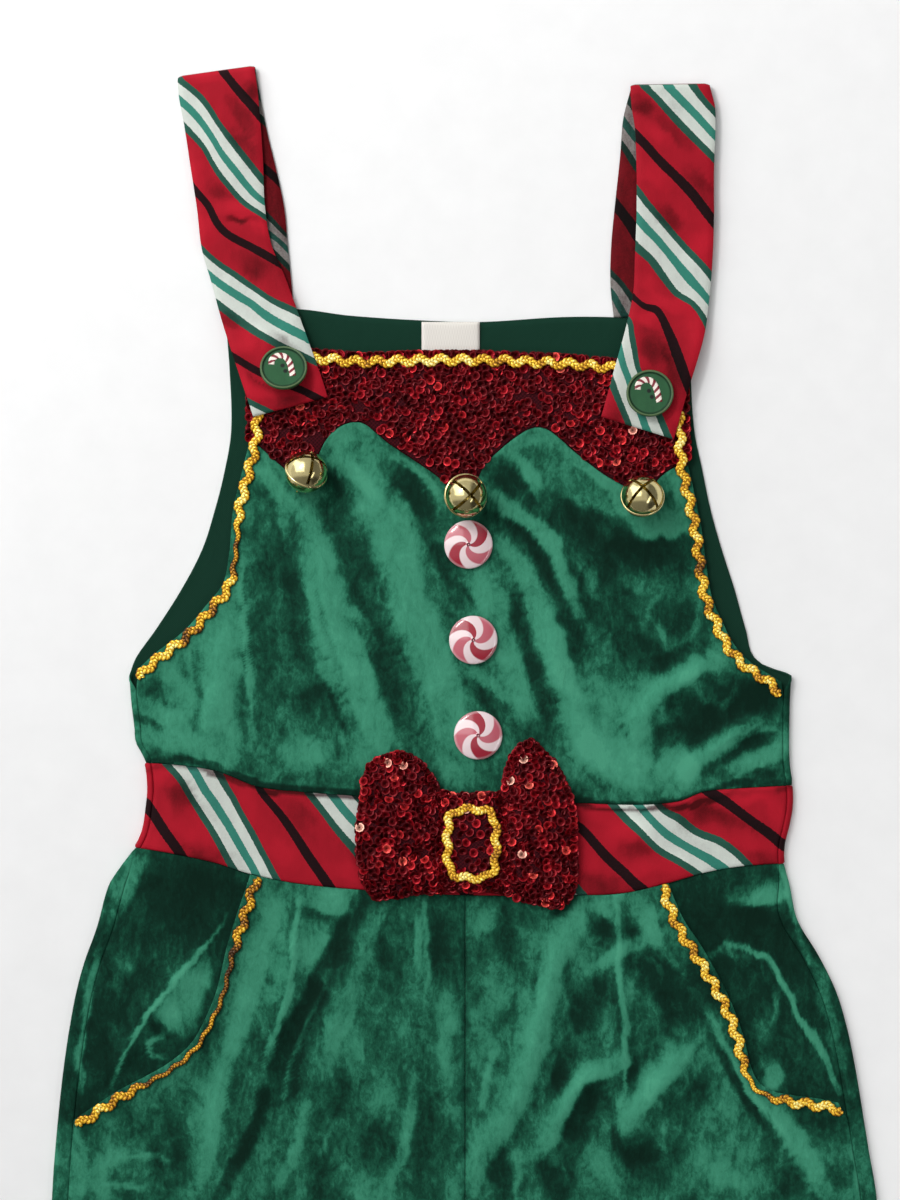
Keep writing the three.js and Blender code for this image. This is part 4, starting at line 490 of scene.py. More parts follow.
# Each strap button's side, place and tilt.
STRAP_BUTTONS = [("left", -110, 288, 24), ("right", 116, 273, 8)]
BELL = {
    "radius": 13, "wall": 0.8, "bead": 13.6, "slot": 1.9, "slot_top": 1.5, "pellet": 3.4, "segments": 96,
}
BELL_REACH = 15.2  # from the eye, which a bell turns on, to the middle of the bell
EYE_RING, EYE_WIRE = 2.4, 0.8  # radii of a bell's eye and of its wire
THREAD = {"radius": 0.8, "height": 3.7, "spread": 4.6}
# Each bell's side, bearing, tilt and the turn of its slots.
BELLS = [("left", 64, 48, 20), ("centre", 0, 14, 45), ("right", 90, 27, 45)]
TRIM = {"sway": 1.7, "wave": 13, "inset": 4.2, "lift": 0.4}

BRAID = {"swing": 1.7, "rise": 0.42, "half_width": 1.15, "half_height": 0.46, "sides": 8, "steps": 10}
# Where the braid stands on its edge and looks narrow: (x, y, reach along it).
BRAID_ON_EDGE = [(-140, 178, 17), (-150, -92, 24), (-163, -125, 20), (-188, -145, 16), (184, -154, 13)]
# Where the braid is painted darker, as shade with fewer highlights, the same way.
BRAID_SHADE = [(-135, -42, 26), (-141, -66, 20), (-150, 135, 12), (-170, 128, 10), (152, 170, 9)]
SEQUIN = {"radius": 3.0, "hole": 0.34, "cup": 0.16, "thickness": 0.14, "pitch": 4.4, "sides": 9}
FRINGE_PITCH = 3.1  # between the sequins round the bow's edges
TOWARDS_LIGHT = np.array([-0.28, 0.30, 0.91])
LATTICE = 64  # random values along each side of the square that soft noise repeats


def mix(a, b, t):
    """a at nought, b at one, and even between them."""
    return a + (b - a) * t


def ease(t):
    """Nought to one with a soft start and end: 3t squared less 2t cubed."""
    s = np.clip(t, 0, 1)
    return s * s * (3 - 2 * s)


def smooth(table):
    """A function through rows of (key, value), of cubic pieces.

    The slope at a row is that of the line between its neighbours."""
    keys, values = np.array(sorted(table), float).T
    slopes = np.empty_like(values)
    slopes[1:-1] = (values[2:] - values[:-2]) / (keys[2:] - keys[:-2])
    slopes[0] = (values[1] - values[0]) / (keys[1] - keys[0])
    slopes[-1] = (values[-1] - values[-2]) / (keys[-1] - keys[-2])

    def at(key):
        k = np.clip(key, keys[0], keys[-1])
        i = np.clip(np.searchsorted(keys, k, side="right") - 1, 0, len(keys) - 2)
        span = keys[i + 1] - keys[i]
        t = (k - keys[i]) / span
        start = (2 * t**3 - 3 * t**2 + 1) * values[i] + (t**3 - 2 * t**2 + t) * span * slopes[i]
        return start + (3 * t**2 - 2 * t**3) * values[i + 1] + (t**3 - t**2) * span * slopes[i + 1]

    return at


def along(points, closed=False, steps=24):
    """A smooth curve through points, as a function of the share of its length from 0 to 1.

    Each step between two points is a cubic whose tangents come from their neighbours, weighed
    by the square root of the distances between them."""
    p = np.array(points, float)
    if closed:
        p = np.vstack([p[-1:], p, p[:2]])
    else:
        p = np.vstack([2 * p[0] - p[1], p, 2 * p[-1] - p[-2]])
    d = np.sqrt(np.linalg.norm(np.diff(p, axis=0), axis=1))[:, None]
    a, b, e, f = p[:-3], p[1:-2], p[2:-1], p[3:]
    da, db, dc = d[:-2], d[1:-1], d[2:]
    start = ((b - a) / da - (e - a) / (da + db) + (e - b) / db) * db
    end = ((e - b) / db - (f - b) / (db + dc) + (f - e) / dc) * db
    t = np.linspace(0, 1, steps, endpoint=False)[None, :, None]
    b, e, start, end = (v[:, None, :] for v in (b, e, start, end))
    pieces = b + start * t + (3 * (e - b) - 2 * start - end) * t**2 + (2 * (b - e) + start + end) * t**3
    dense = np.vstack([pieces.reshape(-1, p.shape[1]), p[-2]])
    length = np.concatenate([[0], np.cumsum(np.linalg.norm(np.diff(dense, axis=0), axis=1))])

    def at(share):
        s = np.asarray(share) * length[-1]
        return np.stack([np.interp(s, length, column) for column in dense.T], axis=-1)

    at.length = length[-1]
    return at


def shares(length, step):
    """Shares of a length at even steps, with a few closer to both ends where an edge turns over."""
    near, first = np.array(EDGE_STATIONS[:-1]), EDGE_STATIONS[-1]
    inner = np.linspace(first, length - first, max(int(round(length / step)), 2) + 1)
    return np.concatenate([near, inner, length - near[::-1]]) / length


def unit(vectors):
    """The same directions, each one long."""
    return vectors / np.linalg.norm(vectors, axis=-1, keepdims=True)


def left_of(ways):
    """Directions in plan, a quarter turn to the left of those given."""
    return np.stack([-ways[:, 1], ways[:, 0]], -1)


def nearest(path, x, y):
    """Each point's distance from a path of straight steps, and the share of the path nearest to it."""
    best = np.full(np.shape(x), np.inf)
    share = np.zeros(np.shape(x))
    last = len(path) - 1
    for i in range(last):
        (ax, ay), (bx, by) = path[i], path[i + 1]
        dx, dy = bx - ax, by - ay
        t = np.clip(((x - ax) * dx + (y - ay) * dy) / (dx * dx + dy * dy), 0, 1)
        distance = np.hypot(x - ax - t * dx, y - ay - t * dy)
        share = np.where(distance < best, (i + t) / last, share)
        best = np.minimum(best, distance)
    return best, share


def soft_noise(x, y, size, seed):
    """Smooth noise from -1 to 1: random values on a square lattice, eased between its corners."""
    lattice = np.random.default_rng(seed).uniform(-1, 1, (LATTICE, LATTICE))
    u, v = x / size, y / size
    i, j = np.floor(u).astype(int), np.floor(v).astype(int)
    s, t = ease(u - i), ease(v - j)
    corner = lambda di, dj: lattice[(i + di) % LATTICE, (j + dj) % LATTICE]
    return mix(mix(corner(0, 0), corner(1, 0), s), mix(corner(0, 1), corner(1, 1), s), t)


side_left, side_right = smooth(SIDE_LEFT), smooth(SIDE_RIGHT)
back_arm_left, back_arm_right = smooth(BACK_ARM_LEFT), smooth(BACK_ARM_RIGHT)
inseam = smooth(INSEAM)
waist_top, waist_bottom = smooth(WAIST_TOP), smooth(WAIST_BOTTOM)
bib_top, back_top = smooth(BIB_TOP), smooth(BACK_TOP)
yoke_seam = smooth(YOKE_SEAM)


# Heights of the cloth.
def fold_height(folds, x, y):
    """Soft ridges: height times a bell curve of the distance from each path, fading at its ends."""
    height = np.zeros(np.shape(x))
    for width, rise, path in folds:
        distance, share = nearest(path, x, y)
        height += rise * np.sin(np.pi * (0.12 + 0.76 * share)) * np.exp(-((distance / width) ** 2))
    return height


def nap_light_and_creases(strokes, x, y):
    """The pile's tone with its painted highlights and painted shade, and the height of small creases, that a
    table of strokes gives at each point.

    The points are first moved about a little by noise, so that no stroke has a ruled edge. A wide
    light stroke, a painted highlight, fades slowly to the upper left and ends sharply to the lower right, as
    on the side of a fold that faces the light; a dark one, painted shade, does the opposite."""
    wx = x + 1.6 * soft_noise(x, y, 17, 3) + 1.5 * soft_noise(x, 0.7 * y, 5.5, 4)
    wy = y + 2.0 * soft_noise(x, y, 19, 5) + 2.0 * soft_noise(x, 0.7 * y, 6.5, 6)
    nap, height = np.zeros(np.shape(x)), np.zeros(np.shape(x))
    for strength, width, rise, path in strokes:
        curve = along(path)(np.linspace(0, 1, 3 * len(path)))
        distance, share = nearest(curve, wx, wy)
        taper = np.sin(np.pi * (0.08 + 0.84 * share)) ** 0.6
        spot = curve[np.rint(share * (len(curve) - 1)).astype(int)]
        lean = np.sign(strength) * (wy - spot[..., 1] - wx + spot[..., 0]) / width
        soft = ease((lean + 0.3) / 1.6) * ease((width - 2.5) / 3)
        reach = width * mix(1.1, 1.75, soft)
        nap += strength * taper * np.exp(-((distance / reach) ** mix(6.0, 2.2, soft)))
        if rise:
            calm = nearest(curve, x, y)[0]
            height += rise * taper * np.exp(-((calm / (0.9 * width)) ** 2))
    return nap, height


def mottle(x, y, lean=0.25):
    """The uneven nap of crushed pile: noise drawn out lengthwise at two sizes."""
    u = x + lean * y
    return 0.22 * soft_noise(u, 0.5 * y, 17, 11) + 0.22 * soft_noise(u, 0.6 * y, 7.5, 12)


def stripes_through(spots):
    """The smoothest field through spots of (x, y, stripe).

    It is a flat part, and r squared times the logarithm of r round each spot."""
    x, y, stripe = np.array(spots, float).T
    centre, size = np.array([x.mean(), y.mean()]), 100.0
    at = (np.stack([x, y], -1) - centre) / size
    bend = lambda d2: 0.5 * d2 * np.log(np.maximum(d2, 1e-12))
    count = len(at)
    flat = np.column_stack([np.ones(count), at])
    system = np.zeros((count + 3, count + 3))
    system[:count, :count] = bend(((at[:, None] - at[None]) ** 2).sum(-1)) + 1e-4 * np.eye(count)
    system[:count, count:], system[count:, :count] = flat, flat.T
    weights = np.linalg.solve(system, np.concatenate([stripe, np.zeros(3)]))

    def field(x, y):
        u, v = (x - centre[0]) / size, (y - centre[1]) / size
        total = weights[count] + weights[count + 1] * u + weights[count + 2] * v
        for (a, b), weight in zip(at, weights):
            total = total + weight * bend((u - a) ** 2 + (v - b) ** 2)
        return total

    return field


def front_height(x, y):
    """Middle of the front cloth: level, with its folds, and lower towards the side and inside seams."""
    to_side = np.minimum(x - side_left(y), side_right(y) - x) - LEG_LIP / 2
    side = mix(SIDE_LEVEL, FRONT_LEVEL, ease(to_side / SIDE_FALL))
    from_inseam = np.abs(x - CENTRE_X) - inseam(y) - INSEAM_LIP
    inner = mix(SIDE_LEVEL, FRONT_LEVEL, ease(from_inseam / SIDE_FALL))
    below = y < CROTCH_Y
    level = np.where(below, mix(side, np.minimum(side, inner), ease((CROTCH_Y - y) / 30)), side)
    calm = ease((np.minimum(to_side, np.where(below, from_inseam, SIDE_FALL)) - 4) / 18)
    return level + fold_height(FOLDS, x, y) * calm


def bib_height(x, y):
    """Middle of the bib: the front height, a little lower along the free armhole edges."""
    to_arm = np.minimum(nearest(FRONT_ARM_LEFT, x, y)[0], nearest(FRONT_ARM_RIGHT, x, y)[0])
    arm = np.where(y > 90, 1 - ease(to_arm / 12), 0)
    folds = fold_height(FOLDS, x, y) * (1 - arm)
    calm = mix(front_height(x, y), FRONT_LEVEL + folds, ease((y - 70) / 30))
    turned_edge = 0.9 * np.exp(-((nearest(YOKE_SEAM, x, y)[0] / 4.5) ** 2))
    return calm - (FRONT_LEVEL - ARM_LEVEL) * arm + turned_edge


def leg_height(x, y, pocket):
    """Middle of a leg's front: the front height, lifted over the panel behind its pocket mouth."""
    lift = POCKET_LIFT * (1 - ease(nearest(pocket, x, y)[0] / 26))
    return front_height(x, y) + lift


# Meshes.
def grid_faces(rows, columns, loop_rows=False, loop_columns=False):
    """Quads of a grid of points that are numbered row by row; a loop joins its last line to its first."""
    r = np.arange(rows if loop_rows else rows - 1)[:, None]
    c = np.arange(columns if loop_columns else columns - 1)[None, :]
    r2, c2 = (r + 1) % rows, (c + 1) % columns
    corners = [r * columns + c, r * columns + c2, r2 * columns + c2, r2 * columns + c]
    return np.stack(np.broadcast_arrays(*corners), axis=-1).reshape(-1, 4)


def outward(points, faces):
    """The faces, turned round if they enclose a negative volume."""
    a, b, c, d = (points[faces[:, k]] for k in range(4))
    volume = (a * (np.cross(b, c) + np.cross(c, d))).sum()
    return faces if volume > 0 else faces[:, ::-1]


def thick(outer, inner, faces):
    """A closed body from an open surface and its inner skin: a rim follows each edge with one face."""
    count = len(outer)
    edges = np.concatenate([faces[:, [k, (k + 1) % 4]] for k in range(4)])
    _, first, uses = np.unique(np.sort(edges, axis=1), axis=0, return_index=True, return_counts=True)
    a, b = edges[first[uses == 1]].T
    rim = np.stack([b, a, a + count, b + count], axis=-1)
    points = np.concatenate([outer, inner])
    return points, outward(points, np.concatenate([faces, faces[:, ::-1] + count, rim]))


def wall(outer, inner, loop=False):
    """A closed body between two grids of points of the same shape."""
    faces = grid_faces(*outer.shape[:2], loop_rows=loop)
    return thick(outer.reshape(-1, 3), inner.reshape(-1, 3), faces)


def normals_of(grid):
    """Unit normals of a grid of points, from the differences between neighbours."""
    down, across = np.gradient(grid, axis=0), np.gradient(grid, axis=1)
    n = np.cross(across, down)
    n /= np.maximum(np.linalg.norm(n, axis=-1, keepdims=True), 1e-9)
    return n * np.sign(n[..., 2].mean() or 1)


def spun(profile, segments):
    """A grid of points: rows of (radius, height) turned round the Z axis."""
    angle = np.linspace(0, 2 * np.pi, segments, endpoint=False)[:, None]
    radius, height = profile.T
    return np.stack([radius * np.cos(angle), radius * np.sin(angle), height + 0 * angle], -1)


def turned(profile, segments):
    """A body turned round the Z axis from rows of (radius, height) that start and end on the axis.

    Its rings are joined by quads, and each end is closed by a fan of quads round one point."""
    profile = np.array(profile, float)
    ring = profile[1:-1]
    ends = [[0, 0, profile[0, 1]], [0, 0, profile[-1, 1]]]
    points = np.concatenate([spun(ring, segments).reshape(-1, 3), ends])
    at = np.arange(segments * len(ring)).reshape(segments, -1)
    fans = [fan(len(points) - 2, at[::-1, 0]), fan(len(points) - 1, at[:, -1])]
    faces = np.concatenate([grid_faces(segments, len(ring), loop_rows=True), *fans])
    return points, outward(points, faces)


def fan(pole, ring):
    """Quads from one point to an even ring of points round it."""
    return np.stack([np.full(len(ring) // 2, pole), ring[0::2], ring[1::2], np.roll(ring, -2)[0::2]], -1)


def tube(path, radius, sides, closed=False):
    """A round tube along a path: rings square to it, turned by the plane that the path lies nearest to."""
    path = np.array(path, float)
    if closed:
        tangent = np.roll(path, -1, axis=0) - np.roll(path, 1, axis=0)
    else:
        tangent = np.gradient(path, axis=0)
    tangent = unit(tangent)
    guide = np.linalg.svd(path - path.mean(axis=0))[2][2]
    side = unit(np.cross(tangent, guide))
    up = np.cross(side, tangent)
    angle = np.linspace(0, 2 * np.pi, sides, endpoint=False)[None, :, None]
    rings = path[:, None] + radius * (np.cos(angle) * side[:, None] + np.sin(angle) * up[:, None])
    points = rings.reshape(-1, 3)
    faces = [grid_faces(len(path), sides, loop_rows=closed, loop_columns=True)]
    if not closed:
        at = np.arange(len(points)).reshape(len(path), sides)
        points = np.vstack([points, path[0], path[-1]])
        faces += [fan(len(points) - 2, at[0]), fan(len(points) - 1, at[-1][::-1])]
    faces = np.concatenate(faces)
    return points, outward(points, faces)


def joined(*bodies):
    """Several bodies as one list of points and one of faces."""
    points, faces, start = [], [], 0
    for p, f in bodies:
        points.append(p)
        faces.append(f + start)
        start += len(p)
    return np.concatenate(points), np.concatenate(faces)


def turn_z(points, degrees):
    """Points turned round the Z axis, from +X towards +Y."""
    a = math.radians(degrees)
    return points @ np.array([[math.cos(a), math.sin(a), 0], [-math.sin(a), math.cos(a), 0], [0, 0, 1]])


def turn_x(points, degrees):
    """Points turned round the X axis, from +Y towards +Z."""
    a = math.radians(degrees)
    return points @ np.array([[1, 0, 0], [0, math.cos(a), math.sin(a)], [0, -math.sin(a), math.cos(a)]])


def add_piece(name, body, material, riding="garment", stands_for=(), slot=None, uv=None, faceted=False,
              **values):
    """Makes an object of points in millimetres and quads, with its material, body, UV map and values."""
    points, faces = body
    mesh = bpy.data.meshes.new(name)
    mesh.vertices.add(len(points))
    mesh.vertices.foreach_set("co", np.ascontiguousarray(points * MM, dtype=np.float32).ravel())
    mesh.loops.add(faces.size)
    mesh.loops.foreach_set("vertex_index", np.ascontiguousarray(faces, dtype=np.int32).ravel())
    mesh.polygons.add(len(faces))
    mesh.polygons.foreach_set("loop_start", np.arange(0, faces.size, 4, dtype=np.int32))
    mesh.update(calc_edges=True)
    mesh.validate()
    if not faceted:
        mesh.shade_smooth()
    if uv is not None:
        layer = mesh.uv_layers.new(name="cloth")
        layer.data.foreach_set("uv", np.ascontiguousarray(uv[faces.ravel()], dtype=np.float32).ravel())
    for key, value in values.items():
        attribute = mesh.attributes.new(key, "FLOAT", "POINT")
        attribute.data.foreach_set("value", np.ascontiguousarray(value, dtype=np.float32).ravel())
    mesh.materials.append(material)
    piece = bpy.data.objects.new(name, mesh)
    bpy.context.scene.collection.objects.link(piece)
    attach(piece, riding)
    if stands_for:
        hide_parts(*stands_for)
    return piece


def keep_sharp(piece, degrees=50):
    """Keeps the edges of a hard piece sharp where its faces meet at more than an angle."""
    piece.data.set_sharp_from_angle(angle=math.radians(degrees))


# Finishes.
def linear(r, g, b):
    """A colour in screen values from 0 to 255, as linear light."""
    v = np.array([r, g, b]) / 255
    light = np.where(v <= 0.04045, v / 12.92, ((v + 0.055) / 1.055) ** 2.4)
    return (*light.tolist(), 1.0)


def tones(*stops):
    """Stops of a colour ramp, from rows of a position and a colour in screen values."""
    return [(at, linear(*colour)) for at, *colour in stops]


def greys(*stops):
    """Stops of a colour ramp in greys, from pairs of a position and a value."""
    return [(at, (v, v, v, 1)) for at, v in stops]


class Nodes:
    """Adds nodes to a tree. An input may be given as a number, a colour or another node's output."""

    def __init__(self, tree):
        self.tree = tree
        tree.nodes.clear()

    def give(self, socket, value):
        """Links an output to an input, or sets the input to a number or a colour."""
        if isinstance(value, bpy.types.NodeSocket):
            self.tree.links.new(value, socket)
        else:
            socket.default_value = value

    def add(self, kind, inputs=None, **settings):
        node = self.tree.nodes.new(kind)
        for key, value in settings.items():
            setattr(node, key, value)
        for key, value in (inputs or {}).items():
            self.give(node.inputs[key], value)
        return node

    def maths(self, operation, a, b=0.0, c=0.0):
        return self.add("ShaderNodeMath", {0: a, 1: b, 2: c}, operation=operation).outputs[0]

    def about_half(self, value, scale, base):
        """A value that lies round a half, taken round nought, scaled and added to a base."""
        return self.maths("MULTIPLY_ADD", self.maths("SUBTRACT", value, 0.5), scale, base)

    def length(self, a, b):
        """How long a way is that goes a along one axis and b along the other."""
        return self.maths("SQRT", self.maths("ADD", *(self.maths("POWER", v, 2.0) for v in (a, b))))

    def split(self, vector):
        return self.add("ShaderNodeSeparateXYZ", {0: vector}).outputs

    def place(self):
        return self.add("ShaderNodeTexCoord").outputs["Object"]

    def uv(self):
        return self.add("ShaderNodeUVMap", uv_map="cloth").outputs["UV"]

    def value(self, name):
        return self.add("ShaderNodeAttribute", attribute_name=name).outputs["Fac"]

    def stretched(self, vector, scale):
        return self.add("ShaderNodeMapping", {"Vector": vector, "Scale": scale}).outputs[0]

    def noise(self, vector, scale, detail=2.0, roughness=0.55, distortion=0.0):
        inputs = {"Vector": vector, "Scale": scale, "Detail": detail, "Roughness": roughness,
                  "Distortion": distortion}
        return self.add("ShaderNodeTexNoise", inputs).outputs["Fac"]

    def ramp(self, factor, stops, mode="LINEAR"):
        """A colour ramp of (position, colour) stops."""
        node = self.add("ShaderNodeValToRGB", {"Fac": factor})
        node.color_ramp.interpolation = mode
        elements = node.color_ramp.elements
        while len(elements) > 1:
            elements.remove(elements[-1])
        for i, (position, colour) in enumerate(stops):
            element = elements[0] if i == 0 else elements.new(position)
            element.position = position
            element.color = colour
        return node.outputs["Color"]

    def shade(self, factor, low, high):
        """A colour between two that are given in screen values."""
        return self.ramp(factor, tones((0.0, *low), (1.0, *high)))

    def blend(self, factor, a, b, how="MIX"):
        inputs = {0: factor, 6: a, 7: b}  # 6 and 7 are the two colours
        return self.add("ShaderNodeMix", inputs, data_type="RGBA", blend_type=how).outputs[2]

    def bump(self, height, strength, distance):
        inputs = {"Height": height, "Strength": strength, "Distance": distance}
        return self.add("ShaderNodeBump", inputs).outputs[0]

    def tone(self, vector, size):
        inputs = {"Vector": vector, "Size": size}
        return self.add("ShaderNodeGroup", inputs, node_tree=MOTTLING).outputs["Tone"]

    def weave(self, vector, yarn):
        inputs = {"Vector": vector, "Yarn": yarn}
        return self.add("ShaderNodeGroup", inputs, node_tree=WEAVE).outputs["Height"]

    def surface(self, inputs):
        shader = self.add("ShaderNodeBsdfPrincipled", inputs)
        self.add("ShaderNodeOutputMaterial", {"Surface": shader.outputs[0]})


def new_group(name, inputs, outputs):
    """An empty shader group with named sockets, its nodes, its input sockets and its output node."""
    tree = bpy.data.node_groups.new(name, "ShaderNodeTree")
    nodes = Nodes(tree)
    for socket, kind in inputs.items():
        tree.interface.new_socket(name=socket, in_out="INPUT", socket_type=kind)
    for socket, kind in outputs.items():
        tree.interface.new_socket(name=socket, in_out="OUTPUT", socket_type=kind)
    return tree, nodes, nodes.add("NodeGroupInput").outputs, nodes.add("NodeGroupOutput")


def mottling_group():
    """Uneven tone, as in worn or brushed stuff: coarse and fine noise, drawn out along Y, from -1 to 1."""
    sockets = {"Vector": "NodeSocketVector", "Size": "NodeSocketFloat"}
    tree, n, given, out = new_group("mottling", sockets, {"Tone": "NodeSocketFloat"})
    drawn = n.stretched(given["Vector"], (1.0, 0.42, 1.0))
    per_metre = n.maths("DIVIDE", 1.0, given["Size"])
    coarse = n.noise(drawn, per_metre, 3.0, 0.6)
    fine = n.noise(given["Vector"], n.maths("MULTIPLY", per_metre, 5.5), 2.0)
    both = n.maths("MULTIPLY_ADD", fine, 0.6, coarse)
    n.tree.links.new(n.maths("MULTIPLY_ADD", both, 2.5, -2.0), out.inputs["Tone"])
    return tree


def weave_group():
    """A fine weave: two crossed waves of yarns that pass over each other, as a height from 0 to 1."""
    sockets = {"Vector": "NodeSocketVector", "Yarn": "NodeSocketFloat"}
    tree, n, given, out = new_group("fine_weave", sockets, {"Height": "NodeSocketFloat"})
    xyz = n.split(given["Vector"])
    turn = n.maths("DIVIDE", math.pi, given["Yarn"])
    waves = [n.maths("SINE", n.maths("MULTIPLY", xyz[k], turn)) for k in (0, 1)]
    over = n.maths("MULTIPLY", *waves)
    n.tree.links.new(n.maths("MULTIPLY_ADD", over, 0.5, 0.5), out.inputs["Height"])
    return tree


MOTTLING, WEAVE = mottling_group(), weave_group()


def new_material(name):
    """An empty material and its nodes."""
    material = bpy.data.materials.new(name)
    material.use_nodes = True
    return material, Nodes(material.node_tree)


def velvet_finish():
    """Crushed velvet: its pile's tone, with painted highlights and painted shade, sets the colour from near
    black to light green. Its inside is a dark knit.

    Creased pile is noise pulled about by itself; brushed pile is fine streaks along Y."""
    material, n = new_material("green_velvet")
    place, inside = n.place(), n.value("inside")
    creased = n.noise(n.stretched(place, (1.0, 0.6, 1.0)), 105.0, 5.0, 0.6, 0.8)
    streaks = n.noise(n.stretched(place, (1.0, 0.22, 1.0)), 330.0, 3.0, 0.6, 0.4)
    fine = n.noise(n.stretched(place, (1.0, 0.7, 1.0)), 420.0, 4.0, 0.65, 0.6)
    # The attribute read here holds painted highlights and painted shade of folds, seams and pleats, with the
    # pile's own tone.
    nap = n.about_half(creased, 2.2, n.value("nap"))
    nap = n.about_half(streaks, 0.6, n.about_half(fine, 1.5, nap))
    nap = n.maths("MULTIPLY_ADD", n.tone(place, 0.0018), 0.16, nap)
    colour = n.ramp(n.maths("MULTIPLY_ADD", nap, 0.30, 0.5), tones(
        (0.0, 6, 34, 24), (0.2, 10, 46, 34), (0.35, 17, 66, 49), (0.47, 29, 90, 68),
        (0.58, 45, 116, 90), (0.72, 57, 132, 104), (0.9, 65, 143, 114), (1.0, 71, 150, 120),
    ))
    matte = n.shade(n.weave(place, 0.0007), (14, 44, 33), (21, 57, 43))
    pile = n.noise(n.stretched(place, (1.0, 0.35, 1.0)), 1500.0, 2.0)
    height = n.maths("MULTIPLY_ADD", creased, 2.0, n.maths("MULTIPLY", pile, 0.3))
    n.surface({
        "Base Color": n.blend(inside, colour, matte), "Roughness": 0.85, "Specular IOR Level": 0.08,
        "Sheen Weight": 0.04, "Sheen Roughness": 0.4, "Sheen Tint": linear(120, 225, 180),
        "Normal": n.bump(height, 0.4, 0.0009),
    })
    return material


def stripe_finish():
    """Red cloth with black lines and green and white bands, which repeat with each whole stripe, under
    painted light and shade.
    """
    material, n = new_material("striped_cloth")
    place = n.place()
    fray = n.noise(place, 900.0, 2.0)
    stripe = n.about_half(fray, 0.012, n.value("stripe"))
    red, black = linear(182, 23, 42), linear(34, 9, 14)
    edge, mid, white = linear(42, 94, 78), linear(60, 146, 126), linear(226, 237, 226)
    colour = n.ramp(n.maths("FRACT", stripe), [
        (0.0, black), (0.042, red), (0.312, edge), (0.374, white), (0.462, mid),
        (0.538, white), (0.626, edge), (0.688, red), (0.958, black),
    ], "CONSTANT")
    nap = n.maths("MULTIPLY_ADD", n.tone(place, 0.006), 0.3, n.value("nap"))
    # lit is painted light and shade, multiplied into the stripes.
    lit = n.ramp(n.maths("MULTIPLY_ADD", nap, 0.38, 0.5), tones(
        (0.0, 104, 84, 88), (0.45, 216, 212, 214), (1.0, 255, 255, 255),
    ))
    colour = n.blend(1.0, colour, lit, "MULTIPLY")
    ribs = n.weave(place, 0.0006)
    n.surface({
        "Base Color": colour, "Roughness": 0.7, "Specular IOR Level": 0.1,
        "Sheen Weight": 0.04, "Sheen Roughness": 0.35, "Normal": n.bump(ribs, 0.25, 0.0003),
    })
    return material


def sequin_finish():
    """Dark red foil discs; each disc's glint, a highlight painted into its colour, sets how bright it looks.
    """
    material, n = new_material("red_sequins")
    colour = n.ramp(n.value("glint"), tones(
        (0.0, 74, 2, 10), (0.45, 112, 6, 18), (0.72, 164, 16, 30), (0.86, 222, 50, 52),
        (0.94, 255, 104, 90), (1.0, 255, 190, 168),
    ))
    streak = n.noise(n.place(), 500.0, 2.0)
    n.surface({
        "Base Color": colour, "Metallic": 0.55, "Roughness": n.maths("MULTIPLY_ADD", streak, 0.2, 0.2),
        "Specular IOR Level": 0.3,
    })
    return material


def net_finish():
    """The dark red net that the sequins are sewn to."""
    material, n = new_material("sequin_net")
    place = n.place()
    net = n.weave(place, 0.0012)
    n.surface({
        "Base Color": n.shade(net, (34, 2, 8), (70, 8, 18)), "Roughness": 0.8, "Specular IOR Level": 0.1,
        "Normal": n.bump(net, 0.5, 0.0005),
    })
    return material


def braid_finish():
    """Gold braid: fine metal yarns that twist round each strand, painted bright on their backs and painted
    dark between, as highlights and shade.
    """
    material, n = new_material("gold_rickrack")
    xyz = n.split(n.uv())
    twist = n.maths("MULTIPLY_ADD", xyz[0], 2.0, xyz[1])
    yarn = n.maths("ABSOLUTE", n.maths("SINE", n.maths("MULTIPLY", twist, math.pi)))
    lit = n.maths("MULTIPLY_ADD", yarn, 0.2, -0.1)
    lit = n.maths("MULTIPLY_ADD", n.tone(n.place(), 0.003), 0.10, lit)
    # The painted shine of each strand, with its yarns painted light and dark, sets the colour.
    colour = n.ramp(n.maths("ADD", lit, n.value("shine")), tones(
        (0.0, 64, 36, 4), (0.25, 140, 88, 10), (0.5, 214, 154, 22), (0.75, 250, 204, 54),
        (1.0, 255, 240, 150),
    ))
    n.surface({
        "Base Color": colour, "Metallic": 0.4, "Roughness": 0.34, "Normal": n.bump(yarn, 0.4, 0.0003),
    })
    return material


def brass_finish():
    """Pale polished brass, a little dulled in patches."""
    material, n = new_material("pale_brass")
    tone = n.tone(n.place(), 0.006)
    colour = n.shade(n.maths("MULTIPLY_ADD", tone, 0.2, 0.5), (190, 172, 110), (232, 220, 168))
    n.surface({
        "Base Color": colour, "Metallic": 1.0, "Roughness": n.maths("MULTIPLY_ADD", tone, 0.05, 0.16),
        "Normal": n.bump(tone, 0.06, 0.0004),
    })
    return material


